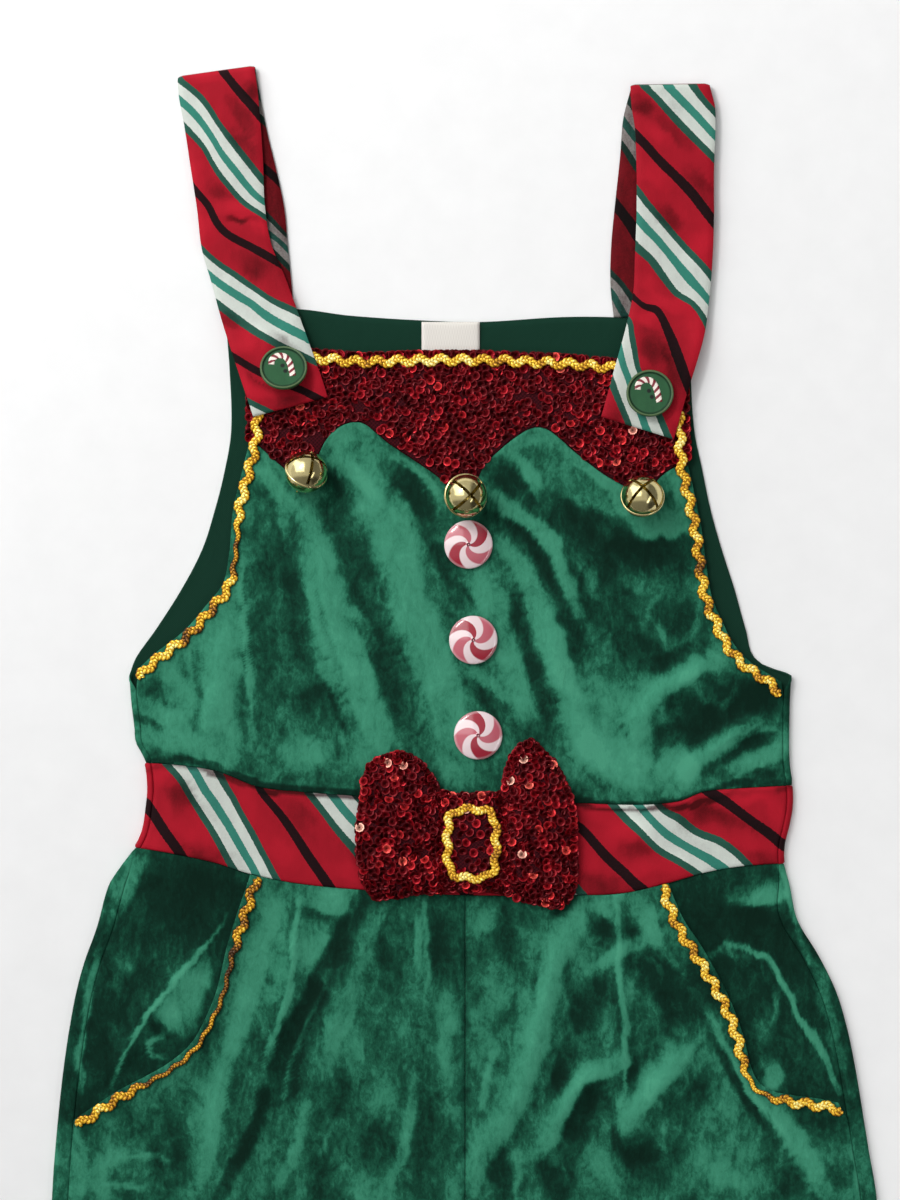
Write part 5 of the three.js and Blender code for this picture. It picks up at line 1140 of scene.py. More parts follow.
def mint_finish():
    """A peppermint: four light and four coloured arms that turn with the distance from the centre."""
    material, n = new_material("peppermint")
    xyz = n.split(n.uv())
    angle = n.maths("DIVIDE", n.maths("ARCTAN2", xyz[1], xyz[0]), 2 * math.pi)
    radius = n.length(xyz[0], xyz[1])
    turn = n.maths("FRACT", n.maths("ADD", n.maths("MULTIPLY_ADD", radius, -0.23, angle), 2.0))
    white, deep, pink = linear(236, 212, 214), linear(158, 26, 48), linear(192, 92, 106)
    arms = [(k / 4 + at, tint) for k, arm in enumerate((deep, pink, deep, pink))
            for at, tint in ((0.0, arm), (0.125, arm), (0.14, white), (0.235, white))]
    colour = n.ramp(turn, arms)
    edge = n.ramp(radius, greys((0.88, 0), (0.97, 1)))
    colour = n.blend(n.maths("MULTIPLY", edge, 0.35), colour, white)
    colour = n.blend(n.ramp(radius, greys((0.03, 1), (0.1, 0))), colour, linear(222, 140, 150))
    n.surface({
        "Base Color": colour, "Roughness": 0.14, "Coat Weight": 0.6, "Coat Roughness": 0.05,
        "Subsurface Weight": 0.05,
    })
    return material


def button_finish():
    """Dark green enamel, lighter on the rim, with painted shade in the groove inside it and two sewing holes
    painted as dark spots.
    """
    material, n = new_material("green_button")
    xyz = n.split(n.uv())
    radius = n.length(xyz[0], xyz[1])
    tone = n.tone(n.place(), 0.005)
    colour = n.shade(n.maths("MULTIPLY_ADD", tone, 0.25, 0.5), (20, 62, 36), (40, 96, 56))
    # The groove inside the rim is painted darker, as shade.
    ring = n.ramp(radius, greys((0.80, 1), (0.87, 0.3), (0.92, 0.9), (0.97, 1)))
    colour = n.blend(1.0, colour, ring, "MULTIPLY")
    rim = n.ramp(radius, greys((0.90, 0), (0.95, 1), (0.99, 0.2)))
    colour = n.blend(n.maths("MULTIPLY", rim, 0.55), colour, linear(116, 122, 84))
    # Each sewing hole is painted as a dark spot of shade.
    for hole in BUTTON_HOLES:
        reach = n.length(*(n.maths("SUBTRACT", xyz[k], hole[k]) for k in (0, 1)))
        colour = n.blend(n.ramp(reach, greys((0.07, 1), (0.11, 0))), colour, linear(8, 22, 14))
    n.surface({
        "Base Color": colour, "Roughness": n.maths("MULTIPLY_ADD", tone, 0.06, 0.42),
        "Specular IOR Level": 0.25, "Normal": n.bump(tone, 0.05, 0.0004),
    })
    return material


def cane_finish():
    """A candy cane: white with red stripes that slant across its length."""
    material, n = new_material("candy_cane")
    xyz = n.split(n.uv())
    slant = n.maths("FRACT", n.maths("MULTIPLY_ADD", xyz[0], 0.55, xyz[1]))
    colour = n.ramp(slant, tones((0.0, 236, 226, 214), (0.56, 122, 26, 40)), "CONSTANT")
    n.surface({"Base Color": colour, "Roughness": 0.35})
    return material


def satin_finish():
    """Off-white satin ribbon with fine ribs."""
    material, n = new_material("label_satin")
    ribs = n.weave(n.stretched(n.place(), (1.0, 0.15, 1.0)), 0.0005)
    colour = n.shade(ribs, (206, 200, 192), (232, 228, 220))
    n.surface({"Base Color": colour, "Roughness": 0.38, "Normal": n.bump(ribs, 0.2, 0.0002)})
    return material


def thread_finish():
    """Dark red thread, its ply drawn out along Z."""
    material, n = new_material("red_thread")
    ply = n.noise(n.stretched(n.place(), (1.0, 1.0, 0.4)), 1800.0, 2.0)
    colour = n.ramp(ply, tones((0.3, 80, 14, 24), (0.7, 150, 40, 50)))
    n.surface({"Base Color": colour, "Roughness": 0.75, "Normal": n.bump(ply, 0.5, 0.0003)})
    return material


def floor_finish():
    """A plain surface, nearly white."""
    material, n = new_material("pale_floor")
    colour = n.shade(n.noise(n.place(), 40.0, 3.0), (236, 236, 236), (244, 244, 244))
    n.surface({"Base Color": colour, "Roughness": 0.9, "Specular IOR Level": 0.1})
    return material


velvet, striped = velvet_finish(), stripe_finish()
sequins, net, braid = sequin_finish(), net_finish(), braid_finish()
brass, peppermint, enamel = brass_finish(), mint_finish(), button_finish()
cane, satin, thread = cane_finish(), satin_finish(), thread_finish()


# Cloth panels.
def plan_area(grid):
    """Area in square metres that a grid of points covers."""
    a, b, c, d = grid[:-1, :-1], grid[:-1, 1:], grid[1:, 1:], grid[1:, :-1]
    cross = lambda u, v: np.linalg.norm(np.cross(u, v), axis=-1).sum() / 2
    return float(cross(b - a, c - a) + cross(c - a, d - a)) * MM * MM


def panel(name, middle, thickness, material, slot, flat, upright=True, rests_on=(), edge=0.8, goes_with=(),
          lined=False, **values):
    """A wall of cloth round a grid of points in its middle, with edges that round over.

    Near an edge the half thickness falls as the root of the distance from it."""
    lengths = [np.linalg.norm(np.diff(middle, axis=k), axis=-1) for k in (0, 1)]
    down = np.concatenate([np.zeros((1, middle.shape[1])), np.cumsum(lengths[0], axis=0)])
    across = np.concatenate([np.zeros((middle.shape[0], 1)), np.cumsum(lengths[1], axis=1)], axis=1)
    inside = np.minimum(np.minimum(down, down[-1:] - down), np.minimum(across, across[:, -1:] - across))
    half = thickness / 2 * np.sqrt(np.clip(inside / edge, LEAST_RIM, 1))
    normal = np.array([0.0, 0.0, 1.0]) if upright else normals_of(middle)
    offset = normal * half[..., None]
    body = wall(middle + offset, middle - offset)
    doubled = {key: np.tile(value.ravel(), 2) for key, value in values.items()}
    if lined:
        doubled["inside"] = np.repeat([1.0, 0.0], middle[..., 0].size)
    uv = np.tile(np.stack([across, down], -1).reshape(-1, 2) * MM, (2, 1))
    piece = add_piece(f"{name}_cloth", body, material, stands_for=[name], slot=slot, uv=uv, **doubled)
    area = min(plan_area(middle), flat[0] * flat[1])
    return piece


def leg_lip(y):
    """How far the back cloth reaches over the front: wider on the legs than on the body."""
    return mix(BODY_LIP, LEG_LIP, ease((LEG_TOP - y) / 30))


def side_at(level, sign):
    """x of the left or right side fold, by sign, at each level."""
    return (side_left if sign < 0 else side_right)(level)


def roll(turn, lip, thickness):
    """The roll of back cloth over a side fold, for arrays of turn and lip: an arc and a straight lip.

    At a full turn it lies on the front; at less it is only starting to rise."""
    level = thickness / 2
    radius = (SIDE_LEVEL - level) / 2
    turn, lip = np.asarray(turn, float)[:, None], np.asarray(lip, float)[:, None]
    share = np.linspace(0, 1, 9)[None, 1:]
    safe = np.maximum(turn, 0.02)
    angle = np.pi * safe * share
    dx, dz = radius / safe * np.sin(angle), radius / safe * (1 - np.cos(angle))
    run = np.maximum(lip - radius - level, 0.8) * turn**2 + 0.8 * (1 - turn)
    out = np.array([0.25, 0.5, 0.8, 0.94, 1.0])[None]
    dx = np.hstack([dx, dx[:, -1:] + out * run * np.cos(np.pi * turn)])
    dz = np.hstack([dz, dz[:, -1:] + out * run * np.sin(np.pi * turn)])
    return dx, dz


def back_grid(level, y_at, left, right, thickness, step):
    """A back panel as rows from left to right: rolled edge, flat middle, rolled edge.

    left and right are (x, turn, lip) for the rows, and y_at gives each point its y."""
    def edge(side, sign):
        x, turn, lip = side
        dx, dz = roll(turn, lip, thickness)
        reach = dx.max(axis=1)
        skin = thickness / 2 * ease((turn - 0.3) / 0.4)
        root = x - sign * (reach + skin)
        return root, root[:, None] + sign * dx, thickness / 2 + dz

    a, b = edge(left, -1), edge(right, 1)
    width = float(np.max(b[0] - a[0]))
    t = np.linspace(0, 1, int(width / step) + 1)[None]
    flat = mix(a[0][:, None], b[0][:, None], t)
    x = np.hstack([a[1][:, ::-1], flat, b[1]])
    z = np.hstack([a[2][:, ::-1], np.full(flat.shape, thickness / 2), b[2]])
    return np.stack([x, y_at(level[:, None], x), z], axis=-1)


def back_seam(left, right, centre):
    """A waist seam on the back: straight from the centre to each side."""
    return lambda x: mix(centre, np.where(x < CENTRE_X, left, right), np.abs(x - CENTRE_X) / HALF_WAIST)


back_waist_top = back_seam(45.6, 31, 21)
back_waist_bottom = back_seam(-7.8, -17, -37)


def bib_bend(y):
    """How far a row of the bib, front or back, is bent to the waist seam: from 0 to 1 at its foot."""
    return ease((BIB_FOOT + BIB_BEND - y) / BIB_BEND)


def back_bib_grid():
    """The back of the bib, flat at its armholes and rolled to the front under them."""
    level = np.concatenate([
        np.linspace(BACK_TOP_LEVEL, 106, 56), np.linspace(104, 84, 16), np.linspace(82, BIB_FOOT, 12),
    ])
    turn = np.interp(level, [90, 95, 99, 104], [1, 0.62, 0.25, 0])
    lip = np.full(level.shape, float(BODY_LIP))
    left = np.where(level > UNDERARM, back_arm_left(level), side_left(level))
    right = np.where(level > UNDERARM, back_arm_right(level), side_right(level))

    def y_at(y, x):
        up = (back_top(x) - BACK_TOP_LEVEL) * ease((y - 250) / 75)
        return y + up + (back_waist_top(x) + SEAM - BIB_FOOT) * bib_bend(y)

    return back_grid(level, y_at, (left, turn, lip), (right, turn, lip), VELVET, 4.0)


def back_band_grid():
    """The back of the waistband, rolled to the front at both sides."""
    high = BAND_TOP - BAND_FOOT
    level = mix(BAND_TOP, BAND_FOOT, shares(high, 3.4))
    full = np.ones(level.shape)
    at = lambda y, x: mix(back_waist_top(x) - SEAM, back_waist_bottom(x) + SEAM, (BAND_TOP - y) / high)
    sides = [(side(level), full, full * BODY_LIP) for side in (side_left, side_right)]
    return back_grid(level, at, *sides, BAND, 4.0)


def inseam_turn(y):
    """How far the back cloth is turned over at the inside leg: not above the crotch, fully below."""
    return ease((CROTCH_Y + 4 - y) / 16)


def under_waist(y, x):
    """y of a point of the back below the waist: it follows the seam there and is even further down."""
    return y + (back_waist_bottom(x) - SEAM - LEG_TOP) * (1 - ease((LEG_TOP - y) / 130))


def back_leg_grid(sign):
    """The back of a leg, left or right by sign."""
    level = np.concatenate([
        np.linspace(LEG_TOP, -300, 100), np.linspace(-303, -360, 30), np.linspace(-365, HEM_Y, 90),
    ])
    outer = (side_at(level, sign), np.ones(level.shape), leg_lip(level))
    away = np.where(level > CROTCH_Y, SEAM, inseam(level))
    inner = (CENTRE_X + sign * away, inseam_turn(level), np.full(level.shape, float(INSEAM_LIP)))
    order = (outer, inner) if sign < 0 else (inner, outer)
    return back_grid(level, under_waist, *order, VELVET, 14.0)


def side_edge(level, sign, lip, thickness=VELVET):
    """Where a front panel meets the lip of back cloth: x at each level."""
    reach = (SIDE_LEVEL - thickness / 2) / 2 + thickness / 2
    run = np.maximum(lip - reach, 0.8)
    return side_at(level, sign) - sign * (reach + run + 2 * SEAM)


def front_bib_grid():
    """The bib: straight rows between its two side edges, bent to the seams of the yoke and the waist."""
    arm_share = 2 / 3  # of each side edge
    v = shares(248, FINE)
    u = shares(398, FINE)
    edges = []
    for arm, sign, waist in ((FRONT_ARM_LEFT, -1, 46.2), (FRONT_ARM_RIGHT, 1, 31.0)):
        upper = along(arm)(np.minimum(v / arm_share, 1))
        low = np.clip((v - arm_share) / (1 - arm_share), 0, 1)
        level = mix(arm[-1][1], BIB_FOOT, low)
        y = level + (waist + SEAM - BIB_FOOT) * bib_bend(level)
        x = mix(arm[-1][0], side_edge(level, sign, BODY_LIP), ease(low * 5))
        edges.append(np.where((v > arm_share)[:, None], np.stack([x, y], -1), upper))
    left, right = edges
    x = mix(left[:, :1], right[:, :1], u)
    chord = mix(left[:, 1:], right[:, 1:], u)
    v = v[:, None]
    from_top = (yoke_seam(x[:1]) - SEAM - chord[:1]) * (1 - ease(v * 1.35))
    from_bottom = (waist_top(x[-1:]) + SEAM - chord[-1:]) * v**3
    y = chord + from_top + from_bottom
    return x, y


def yoke_grid():
    """The sequinned cloth, from the bib's top edge down to the zigzag seam."""
    u = shares(272, FINE)
    v = shares(70, 3.0)[:, None]
    top_x = mix(BIB_TOP[0][0], BIB_TOP[-1][0], u)
    seam_x = mix(YOKE_SEAM[0][0], YOKE_SEAM[-1][0], u)
    y = mix(bib_top(top_x), yoke_seam(seam_x) + SEAM, v)
    edge = 1 - ease(np.minimum(u, 1 - u) * 18)
    z = FRONT_LEVEL - (FRONT_LEVEL - ARM_LEVEL) * edge + 0.25 * soft_noise(mix(top_x, seam_x, v), y, 21, 31)
    return np.stack([mix(top_x, seam_x, v), y, z], axis=-1)


def band_grid():
    """The front of the waistband as x, y and z: rows between its two curved seams."""
    share = shares(50, FINE)
    level = mix(BAND_TOP, BAND_FOOT, share)[:, None]
    u = shares(393, FINE)
    left, right = (side_edge(level, sign, BODY_LIP, BAND) for sign in (-1, 1))
    x = mix(left, right, u)
    y = mix(waist_top(x[:1]) - SEAM, waist_bottom(x[-1:]) + SEAM, share[:, None])
    to_side = np.minimum(u, 1 - u) * 394
    z = mix(SIDE_LEVEL, FRONT_LEVEL, ease(to_side / 16)) + 0.2
    return x, y, z + 0 * x


def front_leg_grid(sign):
    """The front of a leg: rows from the pocket mouth or side seam across to the centre or inside seam."""
    pocket = POCKETS[sign]
    mouth = along(pocket)
    s = shares(mouth.length, FINE)[:-3]
    upper = mouth(s)
    upper_in = np.stack([np.full(s.shape, CENTRE_X + sign * SEAM), mix(WAIST_FRONT_Y, -186, s)], -1)
    y = np.concatenate([
        np.linspace(POCKET_FOOT, -250, 38), np.linspace(-253, -390, 50), np.linspace(-394, HEM_Y + 1, 92),
        [HEM_Y + 0.35, HEM_Y],
    ])
    inner_y = np.where(y > -215, mix(-186, -215, (POCKET_FOOT - y) / 39), y)
    away = np.where(y > CROTCH_Y, SEAM, inseam(y)) + inseam_turn(y) * (INSEAM_LIP + 2 * SEAM)
    lower = np.stack([side_edge(y, sign, LEG_LIP), y], -1)
    lower_in = np.stack([CENTRE_X + sign * away, inner_y], -1)
    outer, inner = np.vstack([upper, lower]), np.vstack([upper_in, lower_in])
    t = shares(230, 2.4)
    x = mix(outer[:, :1], inner[:, :1], t)
    y = mix(outer[:, 1:], inner[:, 1:], t)
    follow = np.zeros(len(outer))
    follow[:len(s)] = 1 - ease(s * 9 / 5)
    chord = mix(pocket[0][1], WAIST_FRONT_Y, t)
    y = y + (waist_bottom(x) - SEAM - chord) * follow[:, None]
    return x, y, pocket


def hip_grid(sign):
    """The panel behind a pocket mouth: from the side seam to a little under the front of the leg."""
    pocket = POCKETS[sign]
    mouth = along(pocket)
    s = shares(170, FINE)
    level = mix(LEG_TOP, POCKET_FOOT, s)
    x = side_edge(level, sign, leg_lip(level))
    outer = np.stack([x, under_waist(level, x)], -1)
    tangent = unit(mouth(np.minimum(s + 0.005, 1)) - mouth(np.maximum(s - 0.005, 0)))
    tuck = 11 * (1 - 0.5 * s)[:, None]
    hidden = mouth(s) - sign * left_of(tangent) * tuck
    t = shares(80, FINE)
    x = mix(outer[:, :1], hidden[:, :1], t)
    y = mix(outer[:, 1:], hidden[:, 1:], t)
    y = y + (waist_bottom(x) - SEAM - y) * (1 - ease(s * 9))[:, None]
    distance, share = nearest(pocket, x, y)
    beyond = sign * (x - mouth(share)[..., 0]) > -0.2
    behind = np.where(beyond, ease((distance - 4) / 14), 0)
    calm = ease(np.abs(x - outer[:, :1]) / 12)
    nap, crease = nap_light_and_creases(HIP_NAP_AND_LIGHT, x, y)
    raised = SIDE_LEVEL + (fold_height(HIP_FOLDS, x, y) + 0.8 * crease) * calm
    return np.stack([x, y, mix(POCKET_LEVEL, raised, behind)], -1), nap


back = back_bib_grid()
# Painted highlights and shade of the bib's folds, on its back as well.
nap, _ = nap_light_and_creases(BIB_NAP_AND_LIGHT, back[..., 0], back[..., 1])
panel("back_bib", back, VELVET, velvet, "lining", (0.44, 0.30), upright=False, lined=True,
      nap=nap - 0.1 + mottle(back[..., 0], back[..., 1], 0.45))

grid = back_band_grid()
band_stripe = stripes_through(BAND_STRIPES)
# Painted light and shade on the striped band.
nap, _ = nap_light_and_creases(BAND_PAINTED_LIGHT, grid[..., 0], grid[..., 1])
panel("back_waistband", grid, BAND, striped, "stripe", (0.43, 0.08), upright=False,
      stripe=band_stripe(grid[..., 0], grid[..., 1]), nap=nap + 0.5 * mottle(grid[..., 0], grid[..., 1], 0.8))

for side, sign in (("left", -1), ("right", 1)):
    grid = back_leg_grid(sign)
    # Painted highlights and shade of the hip and lower legs; the back legs are painted darker on the hip.
    nap, _ = nap_light_and_creases(HIP_NAP_AND_LIGHT + LOWER_NAP_AND_LIGHT, grid[..., 0], grid[..., 1])
    on_hip = ease((grid[..., 1] + 190) / 20)
    panel(f"back_leg_{side}", grid, VELVET, velvet, "velvet", (0.285, 0.99), upright=False,
          nap=nap - 0.75 * on_hip + mottle(grid[..., 0], grid[..., 1]))
    grid, nap = hip_grid(sign)
    # The hip panels are painted darker overall.
    panel(f"hip_panel_{side}", grid, VELVET, velvet, "velvet", (0.11, 0.175),
          rests_on=[f"back_leg_{side}"], nap=nap - 0.95 + 0.8 * mottle(grid[..., 0], grid[..., 1]))
    x, y, pocket = front_leg_grid(sign)
    # Painted highlights and shade of the leg folds and pleats.
    nap, crease = nap_light_and_creases(LEG_NAP_AND_LIGHT, x, y)
    calm = ease((np.minimum(x - side_left(y), side_right(y) - x) - LEG_LIP - 1) / 10)
    z = leg_height(x, y, pocket) + crease * calm
    seam_dip = 0.7 * np.exp(-((x - CENTRE_X) / 3.0) ** 2) * (y > CROTCH_Y)
    grid = np.stack([x, y, z - seam_dip], axis=-1)
    # The dip of the centre seam is also painted darker, as shade in its groove.
    panel(f"front_leg_{side}", grid, VELVET, velvet, "velvet", (0.265, 0.98),
          rests_on=[f"back_leg_{side}"], nap=nap - 0.16 + mottle(x, y) - 0.5 * seam_dip)

x, y, z = band_grid()
# Painted light and shade on the front of the band.
nap, crease = nap_light_and_creases(BAND_PAINTED_LIGHT, x, y)
grid = np.stack([x, y, z + 0.25 * soft_noise(x, y, 23, 41) + 0.8 * crease], axis=-1)
panel("front_waistband", grid, BAND, striped, "stripe", (0.40, 0.078), rests_on=["back_waistband"],
      stripe=band_stripe(x, y), nap=nap + 0.5 * mottle(x, y, 0.8))

x, y = front_bib_grid()
# Painted highlights and shade of the bib's folds.
nap, crease = nap_light_and_creases(BIB_NAP_AND_LIGHT, x, y)
grid = np.stack([x, y, bib_height(x, y) + crease * ease((y - waist_top(x) - 2) / 10)], axis=-1)
panel("front_bib", grid, VELVET, velvet, "velvet", (0.40, 0.235), rests_on=["back_bib"],
      nap=nap - 0.14 + mottle(x, y, 0.45))


# Sequins.
def sequin_body():
    """One cup sequin: a closed ring turned from four points, thin at its rim, with a hole."""
    r, hole, cup, t, sides = (SEQUIN[k] for k in ("radius", "hole", "cup", "thickness", "sides"))
    profile = np.array([(hole, 0.0), (0.88 * r, 0.1 * cup), (r, cup), (0.88 * r, 0.1 * cup - t)])
    points = spun(profile, sides).reshape(-1, 3)
    return points, outward(points, grid_faces(sides, len(profile), loop_rows=True, loop_columns=True))


def scatter(grid, pitch, seed, margin=0.0):
    """Spots on a grid of points at about even distances, and the normals there.

    Every other row is set off by half and all are jittered. Fewer are kept where the grid is low."""
    rng = np.random.default_rng(seed)
    heights = np.linalg.norm(np.diff(grid, axis=0), axis=-1).sum(axis=0)
    high = heights.max()
    wide = np.linalg.norm(np.diff(grid, axis=1), axis=-1).sum(axis=1).max()
    rows, columns = int(high / (pitch * 0.87)) + 1, int(wide / pitch) + 1
    v, u = np.meshgrid(np.linspace(0, 1, rows), np.linspace(0, 1, columns), indexing="ij")
    u = u + (np.arange(rows) % 2)[:, None] * 0.5 / columns
    u = np.clip(u + rng.uniform(-0.28, 0.28, u.shape) / columns, margin / wide, 1 - margin / wide)
    v = np.clip(v + rng.uniform(-0.28, 0.28, v.shape) / rows, margin / high, 1 - margin / high)
    local = np.interp(u, np.linspace(0, 1, grid.shape[1]), heights) / high
    keep = rng.uniform(0, 1, u.shape) < local * 1.08
    r, c = (v * (grid.shape[0] - 1))[keep], (u * (grid.shape[1] - 1))[keep]
    i, j = np.minimum(r.astype(int), grid.shape[0] - 2), np.minimum(c.astype(int), grid.shape[1] - 2)
    s, t = (r - i)[:, None], (c - j)[:, None]
    at = lambda g: mix(mix(g[i, j], g[i, j + 1], t), mix(g[i + 1, j], g[i + 1, j + 1], t), s)
    return at(grid), at(normals_of(grid))


def sequin_field(spots, normals, seed, lift, lean):
    """Cup sequins on spots: each tipped a little its own way, at its own height and with its own painted
    glint, brighter where it faces the light.
    """
    rng = np.random.default_rng(seed)
    count = len(spots)
    base, faces = sequin_body()
    n = unit(normals + rng.normal(0, lean, (count, 3)) * [1, 1, 0])
    first = unit(np.cross(n, rng.normal(0, 1, (count, 3))))
    axes = np.stack([first, np.cross(n, first), n], axis=1)
    raise_by = rng.uniform(*lift, (count, 1))
    glint = rng.uniform(0, 1, count) ** 1.6
    # Discs that face the light are given a brighter painted glint.
    facing = np.clip((n @ TOWARDS_LIGHT - 0.86) / 0.14, 0, 1)
    glint = np.clip(0.7 * glint + 0.42 * facing * rng.uniform(0.1, 1.0, count), 0, 1)
    raise_by = raise_by + 0.5 * ease((glint[:, None] - 0.7) / 0.2)
    points = np.einsum("vk,skd->svd", base, axes) + (spots + normals * raise_by)[:, None]
    all_faces = faces[None] + (np.arange(count) * len(base))[:, None, None]
    return (points.reshape(-1, 3), all_faces.reshape(-1, 4)), np.repeat(glint, len(base))


grid = yoke_grid()
spots, normals = scatter(grid, SEQUIN["pitch"], 71, margin=1.6)
below = spots[:, 1] > yoke_seam(spots[:, 0]) + 2.4
body, glint = sequin_field(spots[below] + [0, 0, SEQUIN_CLOTH / 2], normals[below], 72, (0.15, 0.8), 0.2)
yoke_sequins = add_piece("yoke_sequins", body, sequins, slot="sequin", faceted=True, glint=glint)
panel("sequin_yoke", grid, SEQUIN_CLOTH, net, "sequin", (0.275, 0.085), rests_on=["back_bib"],
      goes_with=[yoke_sequins])


# The bow.
def bow_loop_grids(edges):
    """A loop of the bow: a crowned pillow over a plan between four edge curves."""
    rows, columns = 34, 24
    v, u = np.linspace(0, 1, rows)[:, None, None], np.linspace(0, 1, columns)[None, :, None]
    top, bottom, inner, outer = (along(edges[k]) for k in ("top", "bottom", "inner", "outer"))
    T, B = top(u[0, :, 0])[None], bottom(u[0, :, 0])[None]
    I, O = inner(v[:, 0, 0])[:, None], outer(v[:, 0, 0])[:, None]
    corner = mix(mix(T[:, :1], T[:, -1:], u), mix(B[:, :1], B[:, -1:], u), v)
    plan = mix(T, B, v) + mix(I, O, u) - corner
    v, u = v[..., 0], u[..., 0]
    crown = np.sqrt(np.sin(np.pi * mix(0.06, 0.94, v)) * np.sin(np.pi * mix(0.22, 0.94, u)))
    gathers = 0.9 * np.cos(v * np.pi * 5) * (1 - u) ** 1.5
    upper = np.dstack([plan, BOW_LEVEL + 2.2 + 5.6 * crown + gathers])
    lower = np.dstack([plan, np.full(crown.shape, BOW_LEVEL)])
    return upper, lower


def knot_top(x, y):
    """Height of the knot's crowned top."""
    dx = np.minimum(np.abs(x - KNOT["x"]) / KNOT["half_width"], 1)
    dy = np.minimum(np.abs(y - KNOT["y"]) / KNOT["half_length"], 1)
    crown = np.sqrt(np.maximum(1 - dx**4, 0) * np.maximum(1 - dy**4, 0))
    return BOW_LEVEL + KNOT["edge"] + (KNOT["height"] - KNOT["edge"]) * crown


def knot_grids():
    """The bow's knot, upper and lower side, a little narrower at its middle."""
    s = np.sin(np.pi / 2 * np.linspace(-1, 1, 24))[None]
    t = np.sin(np.pi / 2 * np.linspace(1, -1, 30))[:, None]
    x = KNOT["x"] + KNOT["half_width"] * s + 0 * t
    waist = 1 - 0.05 * np.cos(np.pi / 2 * np.linspace(-1, 1, 24))[None]
    y = KNOT["y"] + KNOT["half_length"] * waist * t
    return np.dstack([x, y, knot_top(x, y)]), np.dstack([x, y, np.full(x.shape, BOW_LEVEL)])


def fringe(upper, seed):
    """Spots all round the edge of a part of the bow, leaning outwards, at uneven heights and distances."""
    edge = np.concatenate([upper[0, :-1], upper[:-1, -1], upper[-1, :0:-1], upper[:0:-1, 0]])
    rng = np.random.default_rng(seed)
    curve = along(edge, closed=True, steps=4)
    count = int(curve.length / FRINGE_PITCH)
    share = (np.arange(count) + rng.uniform(0, 0.7, count)) * FRINGE_PITCH / curve.length
    spots = curve(share)
    ahead = curve((share + 0.004) % 1) - curve((share - 0.004) % 1)
    out = unit(left_of(ahead))
    out *= np.sign(((spots - edge.mean(axis=0))[:, :2] * out).sum(axis=1).mean())
    spots[:, :2] += out * rng.uniform(-1.2, 0.9, (len(spots), 1))
    spots[:, 2] += rng.uniform(-1.6, 0.8, len(spots))
    return spots, np.column_stack([0.55 * out, np.full(len(spots), 0.83)])


bow_parts = [(f"bow_loop_{side}", bow_loop_grids(edges), seed)
             for (side, edges), seed in zip(BOW_EDGES.items(), (80, 81))]
bow_parts.append(("bow_knot", knot_grids(), 83))
for name, (upper, lower), seed in bow_parts:
    cloth = add_piece(f"{name}_cloth", wall(upper, lower), net, stands_for=[name], slot="sequin")
    spots, normals = (np.concatenate(pair) for pair in
                      zip(scatter(upper, SEQUIN["pitch"] * 0.97, seed), fringe(upper, seed + 20)))
    body, glint = sequin_field(spots, normals, seed + 10, (0.1, 1.0), 0.3)
    # The bow's painted glints are a little brighter.
    add_piece(f"{name}_sequins", body, sequins, slot="sequin", faceted=True,
              glint=np.clip(glint + 0.08, 0, 1))


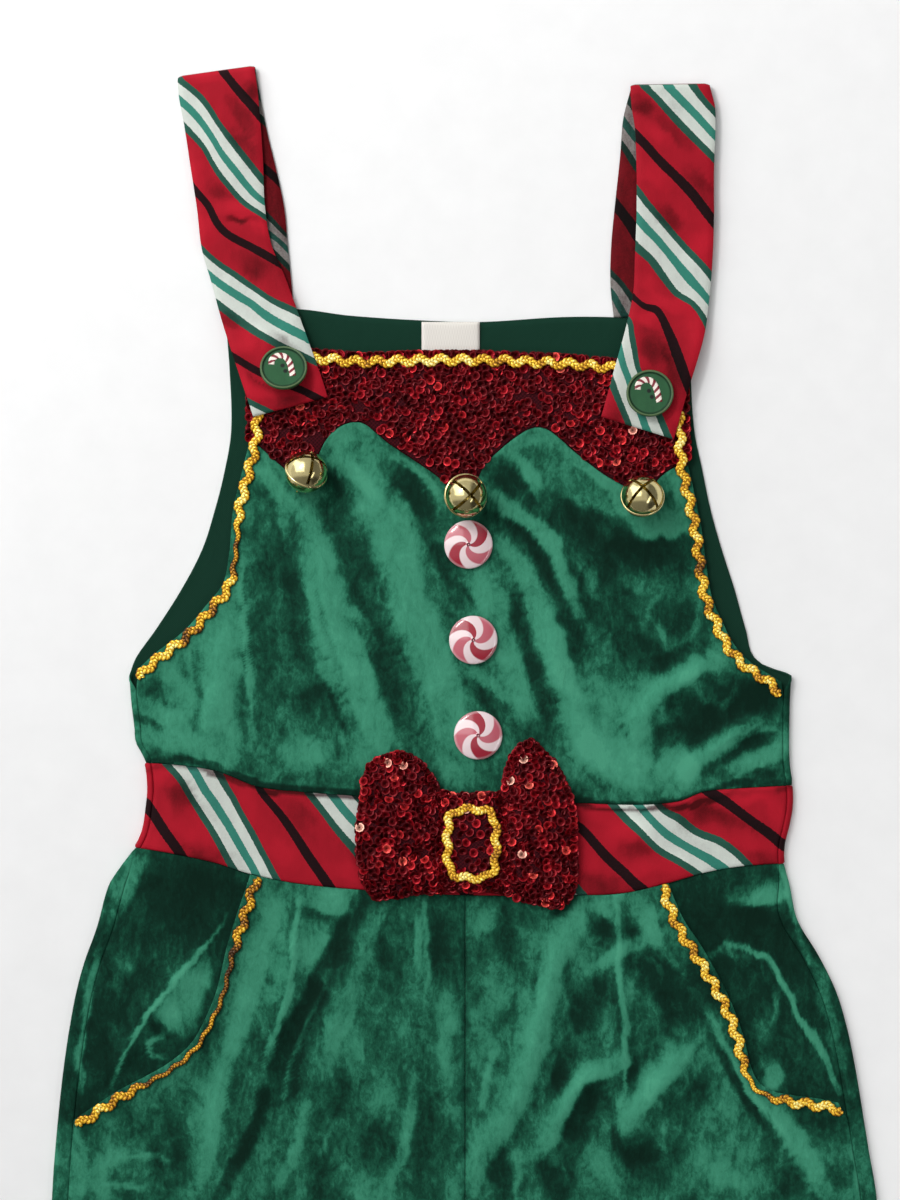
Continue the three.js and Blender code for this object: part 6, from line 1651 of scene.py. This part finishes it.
# Rickrack.
def rickrack(name, points, height_at, sway=TRIM["sway"], waves=None, loop=False):
    """Plaited braid that sways from side to side along a path, just above what it is sewn to.

    Each of its three strands swings across as the sine of its turn, and up as the sine of twice
    its turn, a third of a turn after the one before."""
    curve = along(points, closed=loop)
    count = waves or round(curve.length / TRIM["wave"])
    plaits = 2 * count
    stations = plaits * BRAID["steps"]
    share = np.arange(stations + (0 if loop else 1)) / stations

    def heading(line):
        ahead, behind = (np.roll(line, -k, axis=0) for k in (1, -1))
        way = ahead - behind
        if not loop:
            way[0], way[-1] = line[1] - line[0], line[-1] - line[-2]
        return unit(way)

    near = lambda spots, at: sum(np.exp(-(np.hypot(*(at - spot[:2]).T) / spot[2]) ** 4) for spot in spots)
    centre = curve(share)
    flat = 1 - 0.62 * np.clip(near(BRAID_ON_EDGE, centre), 0, 1)
    # Painted shade: darker where listed and where the braid stands on its edge.
    braid_shade = 0.3 * np.clip(near(BRAID_SHADE, centre), 0, 1) + 0.5 * (1 - flat)
    centre = centre + left_of(heading(centre)) * (flat * sway * np.sin(2 * np.pi * count * share))[:, None]
    side = left_of(heading(centre))
    reach = np.linspace(-1, 1, 5) * (BRAID["swing"] + BRAID["half_width"])
    spots = centre[:, None] + side[:, None] * reach[None, :, None]
    base = height_at(spots[..., 0], spots[..., 1]).max(axis=1) + TRIM["lift"]
    around = np.linspace(0, 2 * np.pi, BRAID["sides"], endpoint=False)
    bodies, uvs, painted_shines = [], [], []
    for k in range(3):
        turn = 2 * np.pi * (plaits * share + k / 3)
        line = centre + side * (flat * BRAID["swing"] * np.sin(turn))[:, None]
        level = base + BRAID["rise"] * (1 + np.sin(2 * turn)) + BRAID["half_height"]
        half = (BRAID["half_width"] * mix(0.7, 1, flat))[:, None] * np.cos(around)
        plan = line[:, None] + left_of(heading(line))[:, None] * half[..., None]
        grid = np.dstack([plan, level[:, None] + BRAID["half_height"] * np.sin(around)[None]])
        faces = [grid_faces(*grid.shape[:2], loop_rows=loop, loop_columns=True)]
        points_of = grid.reshape(-1, 3)
        uv = np.dstack(np.broadcast_arrays(around[None] / 2 / np.pi, share[:, None] * plaits * 5))
        uv = uv.reshape(-1, 2)
        # Painted shine: strands are lighter where they rise over the others and darker at their sides, over
        # uneven blotches.
        uneven = 1.3 * soft_noise(line[:, 0], line[:, 1], 4.5, 61) + 0.6 * np.sin(2 * turn)
        shine = (0.64 + 0.28 * uneven - braid_shade)[:, None] - 0.5 * np.abs(np.cos(around)) ** 3
        if not loop:
            at = np.arange(len(points_of)).reshape(-1, len(around))
            points_of = np.vstack([points_of, grid[0].mean(axis=0), grid[-1].mean(axis=0)])
            faces += [fan(len(points_of) - 2, at[0]), fan(len(points_of) - 1, at[-1][::-1])]
            uv = np.vstack([uv, [[0, 0], [0, 0]]])
            shine = np.append(shine, [0.2, 0.2])
        faces = np.concatenate(faces)
        bodies.append((points_of, outward(points_of, faces)))
        uvs.append(uv)
        painted_shines.append(shine.ravel())
    return add_piece(f"{name}_braid", joined(*bodies), braid, stands_for=[name], slot="gold_trim",
                     uv=np.concatenate(uvs), shine=np.concatenate(painted_shines))


def inset(points, distance):
    """A path moved sideways, to keep a trim inside the edge that it follows."""
    p = np.array(points, float)
    ahead = unit(np.vstack([p[1:], p[-1:]]) - np.vstack([p[:1], p[:-1]]))
    return p + distance * left_of(ahead)


YOKE_TOP = FRONT_LEVEL + SEQUIN_CLOTH / 2


def bib_surface(x, y):
    """Height that a trim is sewn to on the bib: on the sequins above the seam, on velvet below it."""
    on_yoke = y > yoke_seam(x)
    return np.where(on_yoke, YOKE_TOP + 0.4, bib_height(x, y) + VELVET / 2)


top_trim = [(-122, 296), (-89, 295), (-63, 293), (-25, 294), (11, 294), (61, 292), (98, 289), (129, 287)]
rickrack("bib_top_trim", top_trim, bib_surface)
arm_left = [(-131, 276), (-131, 258), *FRONT_ARM_LEFT, (-202.5, 99)]
arm_right = [(138, 262), (139, 246), *FRONT_ARM_RIGHT[:-1], (200, 91)]
for side, sign, arm in (("left", -1, arm_left), ("right", 1, arm_right)):
    rickrack(f"armhole_trim_{side}", inset(arm, -sign * TRIM["inset"]), bib_surface)
for side, sign in (("left", -1), ("right", 1)):
    pocket = POCKETS[sign]
    rickrack(f"pocket_trim_{side}", inset(pocket, -sign * TRIM["inset"]),
             lambda x, y: leg_height(x, y, pocket) + VELVET / 2)


def buckle_path():
    """A rectangle with round corners, as points on its four arcs."""
    x, y, w, l, k = (BUCKLE[key] for key in ("x", "y", "half_width", "half_length", "corner"))
    a = np.radians(np.arange(0, 91, 30))
    corners = [(1, 1, 0), (-1, 1, 90), (-1, -1, 180), (1, -1, 270)]
    return [(x + sx * (w - k) + k * math.cos(t + math.radians(start)),
             y + sy * (l - k) + k * math.sin(t + math.radians(start)))
            for sx, sy, start in corners for t in a]


rickrack("bow_buckle_trim", buckle_path(), lambda x, y: knot_top(x, y) + 0.2, BUCKLE["sway"],
         BUCKLE["waves"], True)


# Straps.
def strap_grid(front, back):
    """A strap as rows across it: up the front, round the top fold in a half circle, and down behind.

    With it comes how far along the strap each row lies."""
    across = shares(47, FINE)
    rows = []
    for table in (front, back):
        smooth_rows = along(table)
        rows.append(smooth_rows(np.linspace(0, 1, int(smooth_rows.length / FINE))))
    top, start = rows[0][-1], rows[1][0]
    radius = (top[4] - start[4]) / 2
    angle = np.linspace(0, np.pi, 10)[1:-1, None]
    share = angle / np.pi
    fold = mix(top[None], start[None], share)
    fold[:, [1, 3]] += radius * np.sin(angle)
    fold[:, 4:] = start[4] + radius + radius * np.cos(angle)
    rows = np.vstack([rows[0], fold, rows[1]])
    left, right = rows[:, [0, 1]], rows[:, [2, 3]]
    plan = mix(left[:, None], right[:, None], across[None, :, None])
    height = np.repeat(rows[:, 4:], len(across), axis=1)
    middle = np.dstack([plan, height])
    step = np.linalg.norm(np.diff(rows, axis=0)[:, [0, 1]], axis=1)
    step = np.maximum(step, np.abs(np.diff(rows[:, 4])))
    return middle, np.concatenate([[0], np.cumsum(step)])


def strap(side):
    """Adds a strap: striped by its own spots in front and behind, and painted dark behind, as shade under its
    front.
    """
    middle, down = strap_grid(*STRAP_ROWS[side])
    highest = int(np.argmax(middle[:, 0, 1]))
    in_front = (down < down[highest])[:, None]
    x, y = middle[..., 0], middle[..., 1]
    # Painted light and shade on the strap.
    nap, crease = nap_light_and_creases(STRAP_PAINTED_LIGHT, x, y)
    stripe = np.where(in_front, stripes_through(STRAP_STRIPES[side])(x, y),
                      stripes_through(STRAP_STRIPES[f"{side}_back"])(x, y))
    uneven = 0.3 * soft_noise(x, y, 19, 51) + 0.2 * soft_noise(x + y, y - x, 9, 52)
    middle[..., 2] += np.where(in_front & (y < 466), uneven + 0.8 * crease, 0)
    # Behind, the strap is painted dark as the shade under its front.
    nap = np.where(in_front, nap + 0.5 * mottle(x, y, -0.3), -1.1)
    panel(f"strap_{side}", middle, STRAP, striped, "stripe", (0.048, 0.38), upright=False, edge=2.6,
          rests_on=["back_bib", "sequin_yoke"], stripe=stripe, nap=nap)


for side in STRAP_ROWS:
    strap(side)


# The neck label: a loop of ribbon pressed flat, its fold downwards.
LABEL = {"x": -7, "y": 300, "half": 18, "thickness": 0.9}
half_label = np.linspace(-LABEL["half"], LABEL["half"], 19)
u, v = np.meshgrid(half_label, -half_label)
label_z = VELVET + 0.4 + 0.45 + 0.3 * ease((v + 6) / 24) * (1 + np.sin(u / 7))
label = np.dstack([u + LABEL["x"], v + LABEL["y"], label_z])
panel("neck_label", label, LABEL["thickness"], satin, "satin", (0.037, 0.037),
      rests_on=["back_bib"])


# Buttons.
def placed(body, x, y, z, tilt=0.0, turn=0.0):
    """A body turned round its own axis, tilted back about X and moved to its place."""
    points, faces = body
    return turn_x(turn_z(points, turn), -tilt) + [x, y, z], faces


def mint_body():
    """A peppermint button: flat behind, a rounded edge, a dome in front."""
    r, high, rim = MINT["radius"], MINT["height"], MINT["rim"]
    foot = 0.9  # how far in and up from the rim the dome starts
    edge = [
        (r - 1.6, 0.0), (r - 0.8, 0.12), (r - 0.25, 0.5), (r, 1.0), (r, rim), (r - 0.2, rim + 0.5),
        (r - foot, rim + foot),
    ]
    share = np.linspace(0, 1, 14)[1:]
    dome = [((r - foot) * (1 - s), rim + foot + (high - rim - foot) * (1 - (1 - s) ** 2)) for s in share]
    return turned([(0, 0), *edge, *dome], 64)


for name, x, y, turn in MINTS:
    body = mint_body()
    uv = body[0][:, :2] / MINT["radius"]
    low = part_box(name)[0][2] / MM
    add_piece(f"{name}_button", placed(body, x, y, low, turn=turn), peppermint, stands_for=[name],
              slot="mint", uv=uv)


def button_body():
    """A button: a raised rim round a shallow dish."""
    r, high, rim, dish = (BUTTON[k] for k in ("radius", "height", "rim", "dish"))
    profile = [
        (0, 0), (r - 1.2, 0), (r - 0.4, 0.35), (r, 1), (r, high - 0.6), (r - 0.2, high - 0.15),
        (r - 0.55, high), (r - rim, high), (r - rim - 0.35, high - 0.3), (r - rim - 0.8, high - dish),
        (6, high - dish), (0, high - dish),
    ]
    return turned(profile, 64)


def cane_body():
    """A candy cane printed on the button: a thin flat band, round its crook and down its stem."""
    path = along([(-7.6, 2.2), (-7.0, 5.8), (-3.8, 8.2), (0.4, 7.8), (3.2, 4.6), (4.6, 0.4), (5.8, -5.6)])
    s = np.linspace(0, 1, 40)
    centre = path(s)
    side = left_of(unit(np.gradient(centre, axis=0)))
    across = np.linspace(-1.9, 1.9, 5)
    plan = centre[:, None] + side[:, None] * across[None, :, None]
    level = BUTTON["height"] - BUTTON["dish"]
    upper = np.dstack([plan, np.full(plan.shape[:2], level + 0.14)])
    lower = np.dstack([plan, np.full(plan.shape[:2], level + 0.01)])
    uv = np.dstack([np.broadcast_to(across / 3.8 + 0.5, plan.shape[:2]),
                    np.broadcast_to((s * path.length / 4.2)[:, None], plan.shape[:2])]).reshape(-1, 2)
    return wall(upper, lower), np.tile(uv, (2, 1))


for side, x, y, tilt in STRAP_BUTTONS:
    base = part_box(f"strap_button_{side}")[0][2] / MM + BUTTON["foot"] * math.sin(math.radians(tilt))
    body = button_body()
    disc = add_piece(f"strap_button_{side}_disc", placed(body, x, y, base, tilt), enamel,
                     stands_for=[f"strap_button_{side}"], slot="button", uv=body[0][:, :2] / BUTTON["radius"])
    keep_sharp(disc)
    body, uv = cane_body()
    add_piece(f"strap_button_{side}_cane", placed(body, x, y, base, tilt), cane, slot="button", uv=uv)


# Bells.
def bell_body(spin):
    """A jingle bell: two thin halves that meet at a bead, and a cross of round-ended slots in the far half.

    The far half is a grid of rings. Faces inside the cross are left out, and the points nearest
    to its outline are moved onto it. The inner skin is the outer one, drawn in by the wall."""
    r, half, segments = BELL["radius"], BELL["slot"] / 2, BELL["segments"]
    lower = np.radians(np.linspace(176, 96, 26))
    upper = np.radians(np.concatenate([np.linspace(84, 30, 40), np.linspace(28, 2, 16)]))
    bead = [(r, -0.9), (r + 0.42, -0.72), (BELL["bead"], -0.3), (r + 0.45, -0.05), (r + 0.45, 0.05),
            (BELL["bead"], 0.3), (r + 0.42, 0.72), (r, 0.9)]
    rings = np.array([(r * math.sin(a), r * math.cos(a)) for a in lower] + bead
                     + [(r * math.sin(a), r * math.cos(a)) for a in upper])
    theta = np.linspace(0, 2 * np.pi, segments, endpoint=False)
    end = r * math.acos(BELL["slot_top"] / r) - half

    def outside(x, y, reach):
        """Distance from the cross of slots, less than nought inside it."""
        arms = [np.hypot(np.maximum(np.abs(a) * reach - end, 0), b) for a, b in ((x, y), (y, x))]
        return np.minimum(*arms) - half

    def lengthened(x, y, z):
        """How many times longer the way over the ball from its pole is than the same way in plan."""
        return r * np.arctan2(np.hypot(x, y), z) / np.maximum(np.hypot(x, y), 1e-6)

    top = len(lower) + len(bead)
    X = rings[:, :1] * np.cos(theta)[None]
    Y = rings[:, :1] * np.sin(theta)[None]
    Z = rings[:, 1:] + 0 * X
    h = 0.02  # step over which the slope of the distance is measured
    for _ in range(2):
        reach = lengthened(X, Y, Z)
        d = outside(X, Y, reach)
        gx = (outside(X + h, Y, reach) - outside(X - h, Y, reach)) / (2 * h)
        gy = (outside(X, Y + h, reach) - outside(X, Y - h, reach)) / (2 * h)
        size = np.maximum(gx**2 + gy**2, 0.3)
        near = (np.abs(d) < 0.30) & (np.arange(len(rings))[:, None] >= top)
        X = np.where(near, X - d * gx / size, X)
        Y = np.where(near, Y - d * gy / size, Y)
        Z = np.where(near, np.sqrt(np.maximum(r * r - X * X - Y * Y, 0)), Z)
    grid = np.dstack([X, Y, Z])
    faces = grid_faces(len(rings), segments, loop_columns=True)
    points = grid.reshape(-1, 3)
    x, y, z = points[faces].mean(axis=1).T
    open_here = (outside(x, y, lengthened(x, y, z)) < -0.02) & (z > 0)
    faces = faces[~open_here]
    points = np.vstack([points, [0, 0, -r]])
    faces = np.vstack([faces, fan(len(points) - 1, np.arange(segments)[::-1])])
    used = np.unique(faces)
    renumber = np.zeros(len(points), int)
    renumber[used] = np.arange(len(used))
    points, faces = points[used], renumber[faces]
    shell = thick(points, points * (r - BELL["wall"]) / r, faces)
    return turn_z(shell[0], spin) + [0, 0, BELL_REACH], shell[1]


def leaning(body, pivot, bearing, tilt):
    """A body that stands on its eye, tipped towards a bearing and moved to its pivot."""
    points, faces = body
    return turn_z(turn_x(points, -tilt), bearing - 90) + pivot, faces


pivots = {joint["name"].replace("_bell_swing", ""): np.array(joint["pos_m"]) / MM
          for joint in frame["record"]["behaviour"]["joints"]}
for side, bearing, tilt, spin in BELLS:
    pivot, riding = pivots[side], f"{side}_bell"
    bell = add_piece(f"bell_{side}_shell", leaning(bell_body(spin), pivot, bearing, tilt), brass,
                     riding=riding, stands_for=[f"bell_{side}"], slot="brass")
    keep_sharp(bell)
    a = np.linspace(0, 2 * np.pi, 32, endpoint=False)
    ring = np.stack([0 * a, EYE_RING * np.cos(a), EYE_RING * np.sin(a)], -1)
    add_piece(f"bell_{side}_eye", leaning(tube(ring, EYE_WIRE, 12, closed=True), pivot, bearing, tilt), brass,
              riding=riding, slot="brass")
    low, high = (np.array(corner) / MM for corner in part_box(f"bell_pellet_{side}"))
    half_round = np.radians(np.linspace(180, 0, 17))
    profile = [(BELL["pellet"] * abs(math.sin(t)), BELL["pellet"] * math.cos(t)) for t in half_round]
    points, faces = turned(profile, 24)
    add_piece(f"bell_{side}_pellet", (points + (low + high) / 2, faces), brass,
              riding=riding, stands_for=[f"bell_pellet_{side}"], slot="brass")
    a = np.linspace(0, np.pi, 25)
    arch = np.stack([-THREAD["spread"] * np.cos(a), 0 * a, THREAD["height"] * (np.sin(a) - 1)], -1)
    strands = []
    for k in (-1, 1):
        wind = np.stack([0 * a, k * 0.32 * np.cos(9 * a), k * 0.32 * np.sin(9 * a)], -1)
        strands.append(tube(arch + wind * THREAD["radius"] / 0.8, THREAD["radius"] * 0.62, 8))
    points, faces = joined(*strands)
    add_piece(f"bell_{side}_thread", (turn_z(points, bearing - 90) + pivot, faces), thread,
              stands_for=[f"bell_thread_{side}"], slot="thread")


# The floor, the light and the camera.
def add_light(name, place, aim, size, power):
    """A round lamp at a place that shines towards a point."""
    data = bpy.data.lights.new(name, "AREA")
    data.shape = "DISK"
    data.size = size
    data.energy = power
    lamp = bpy.data.objects.new(name, data)
    bpy.context.scene.collection.objects.link(lamp)
    lamp.location = place
    direction = np.array(aim) - np.array(place)
    yaw = math.atan2(direction[0], -direction[1])
    pitch = math.atan2(math.hypot(*direction[:2]), -direction[2])
    lamp.rotation_euler = (pitch, 0, yaw)


floor_mesh = bpy.data.meshes.new("floor")
floor_mesh.from_pydata([(-5, -5, 0), (5, -5, 0), (5, 5, 0), (-5, 5, 0)], [], [(0, 1, 2, 3)])
floor_mesh.materials.append(floor_finish())
floor = bpy.data.objects.new("floor", floor_mesh)
floor.location.z = -0.0004
bpy.context.scene.collection.objects.link(floor)
floor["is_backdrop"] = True

VIEW_X, VIEW_Y, VIEW_HEIGHT = -0.0074, 0.1457, 0.744  # the photo's centre and height on the garment
add_light("key", (-0.9, 1.2, 1.7), (0, 0.1, 0), 0.7, 60)
add_light("fill", (1.3, -0.5, 1.6), (0, 0, 0), 1.4, 22)


def room_light():
    """A dim white room that is darker to the right and below, with a bright window to the upper left."""
    world = bpy.data.worlds.new("room")
    world.use_nodes = True
    n = Nodes(world.node_tree)
    xyz = n.split(n.add("ShaderNodeTexCoord").outputs["Generated"])
    x, y = (n.maths("MULTIPLY_ADD", xyz[k], 0.5, 0.5) for k in (0, 1))
    window = n.maths("MULTIPLY", n.ramp(x, greys((0.06, 0), (0.09, 1), (0.41, 1), (0.44, 0))),
                     n.ramp(y, greys((0.49, 0), (0.52, 1), (0.88, 1), (0.91, 0))))
    walls = n.maths("MULTIPLY", n.ramp(x, greys((0.0, 0.75), (0.66, 0.62), (0.76, 0.16), (1.0, 0.2))),
                    n.ramp(y, greys((0.0, 0.3), (0.26, 0.35), (0.34, 1.0), (1.0, 1.0))))
    light = n.maths("MULTIPLY_ADD", window, 1.9, walls)
    ground = n.add("ShaderNodeBackground", {"Color": (1, 1, 1, 1), "Strength": light})
    n.add("ShaderNodeOutputWorld", {"Surface": ground.outputs[0]})
    return world


bpy.context.scene.world = room_light()
bpy.context.scene.view_settings.view_transform = "Standard"

CAMERA_HEIGHT, SENSOR_HEIGHT = 3.2, 24
camera_data = bpy.data.cameras.new("camera")
camera_data.sensor_fit = "VERTICAL"
camera_data.sensor_height = SENSOR_HEIGHT
camera_data.lens = SENSOR_HEIGHT * CAMERA_HEIGHT / VIEW_HEIGHT
camera = bpy.data.objects.new("camera", camera_data)
camera.location = (VIEW_X, VIEW_Y, CAMERA_HEIGHT)
bpy.context.scene.collection.objects.link(camera)
bpy.context.scene.camera = camera

low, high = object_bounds()
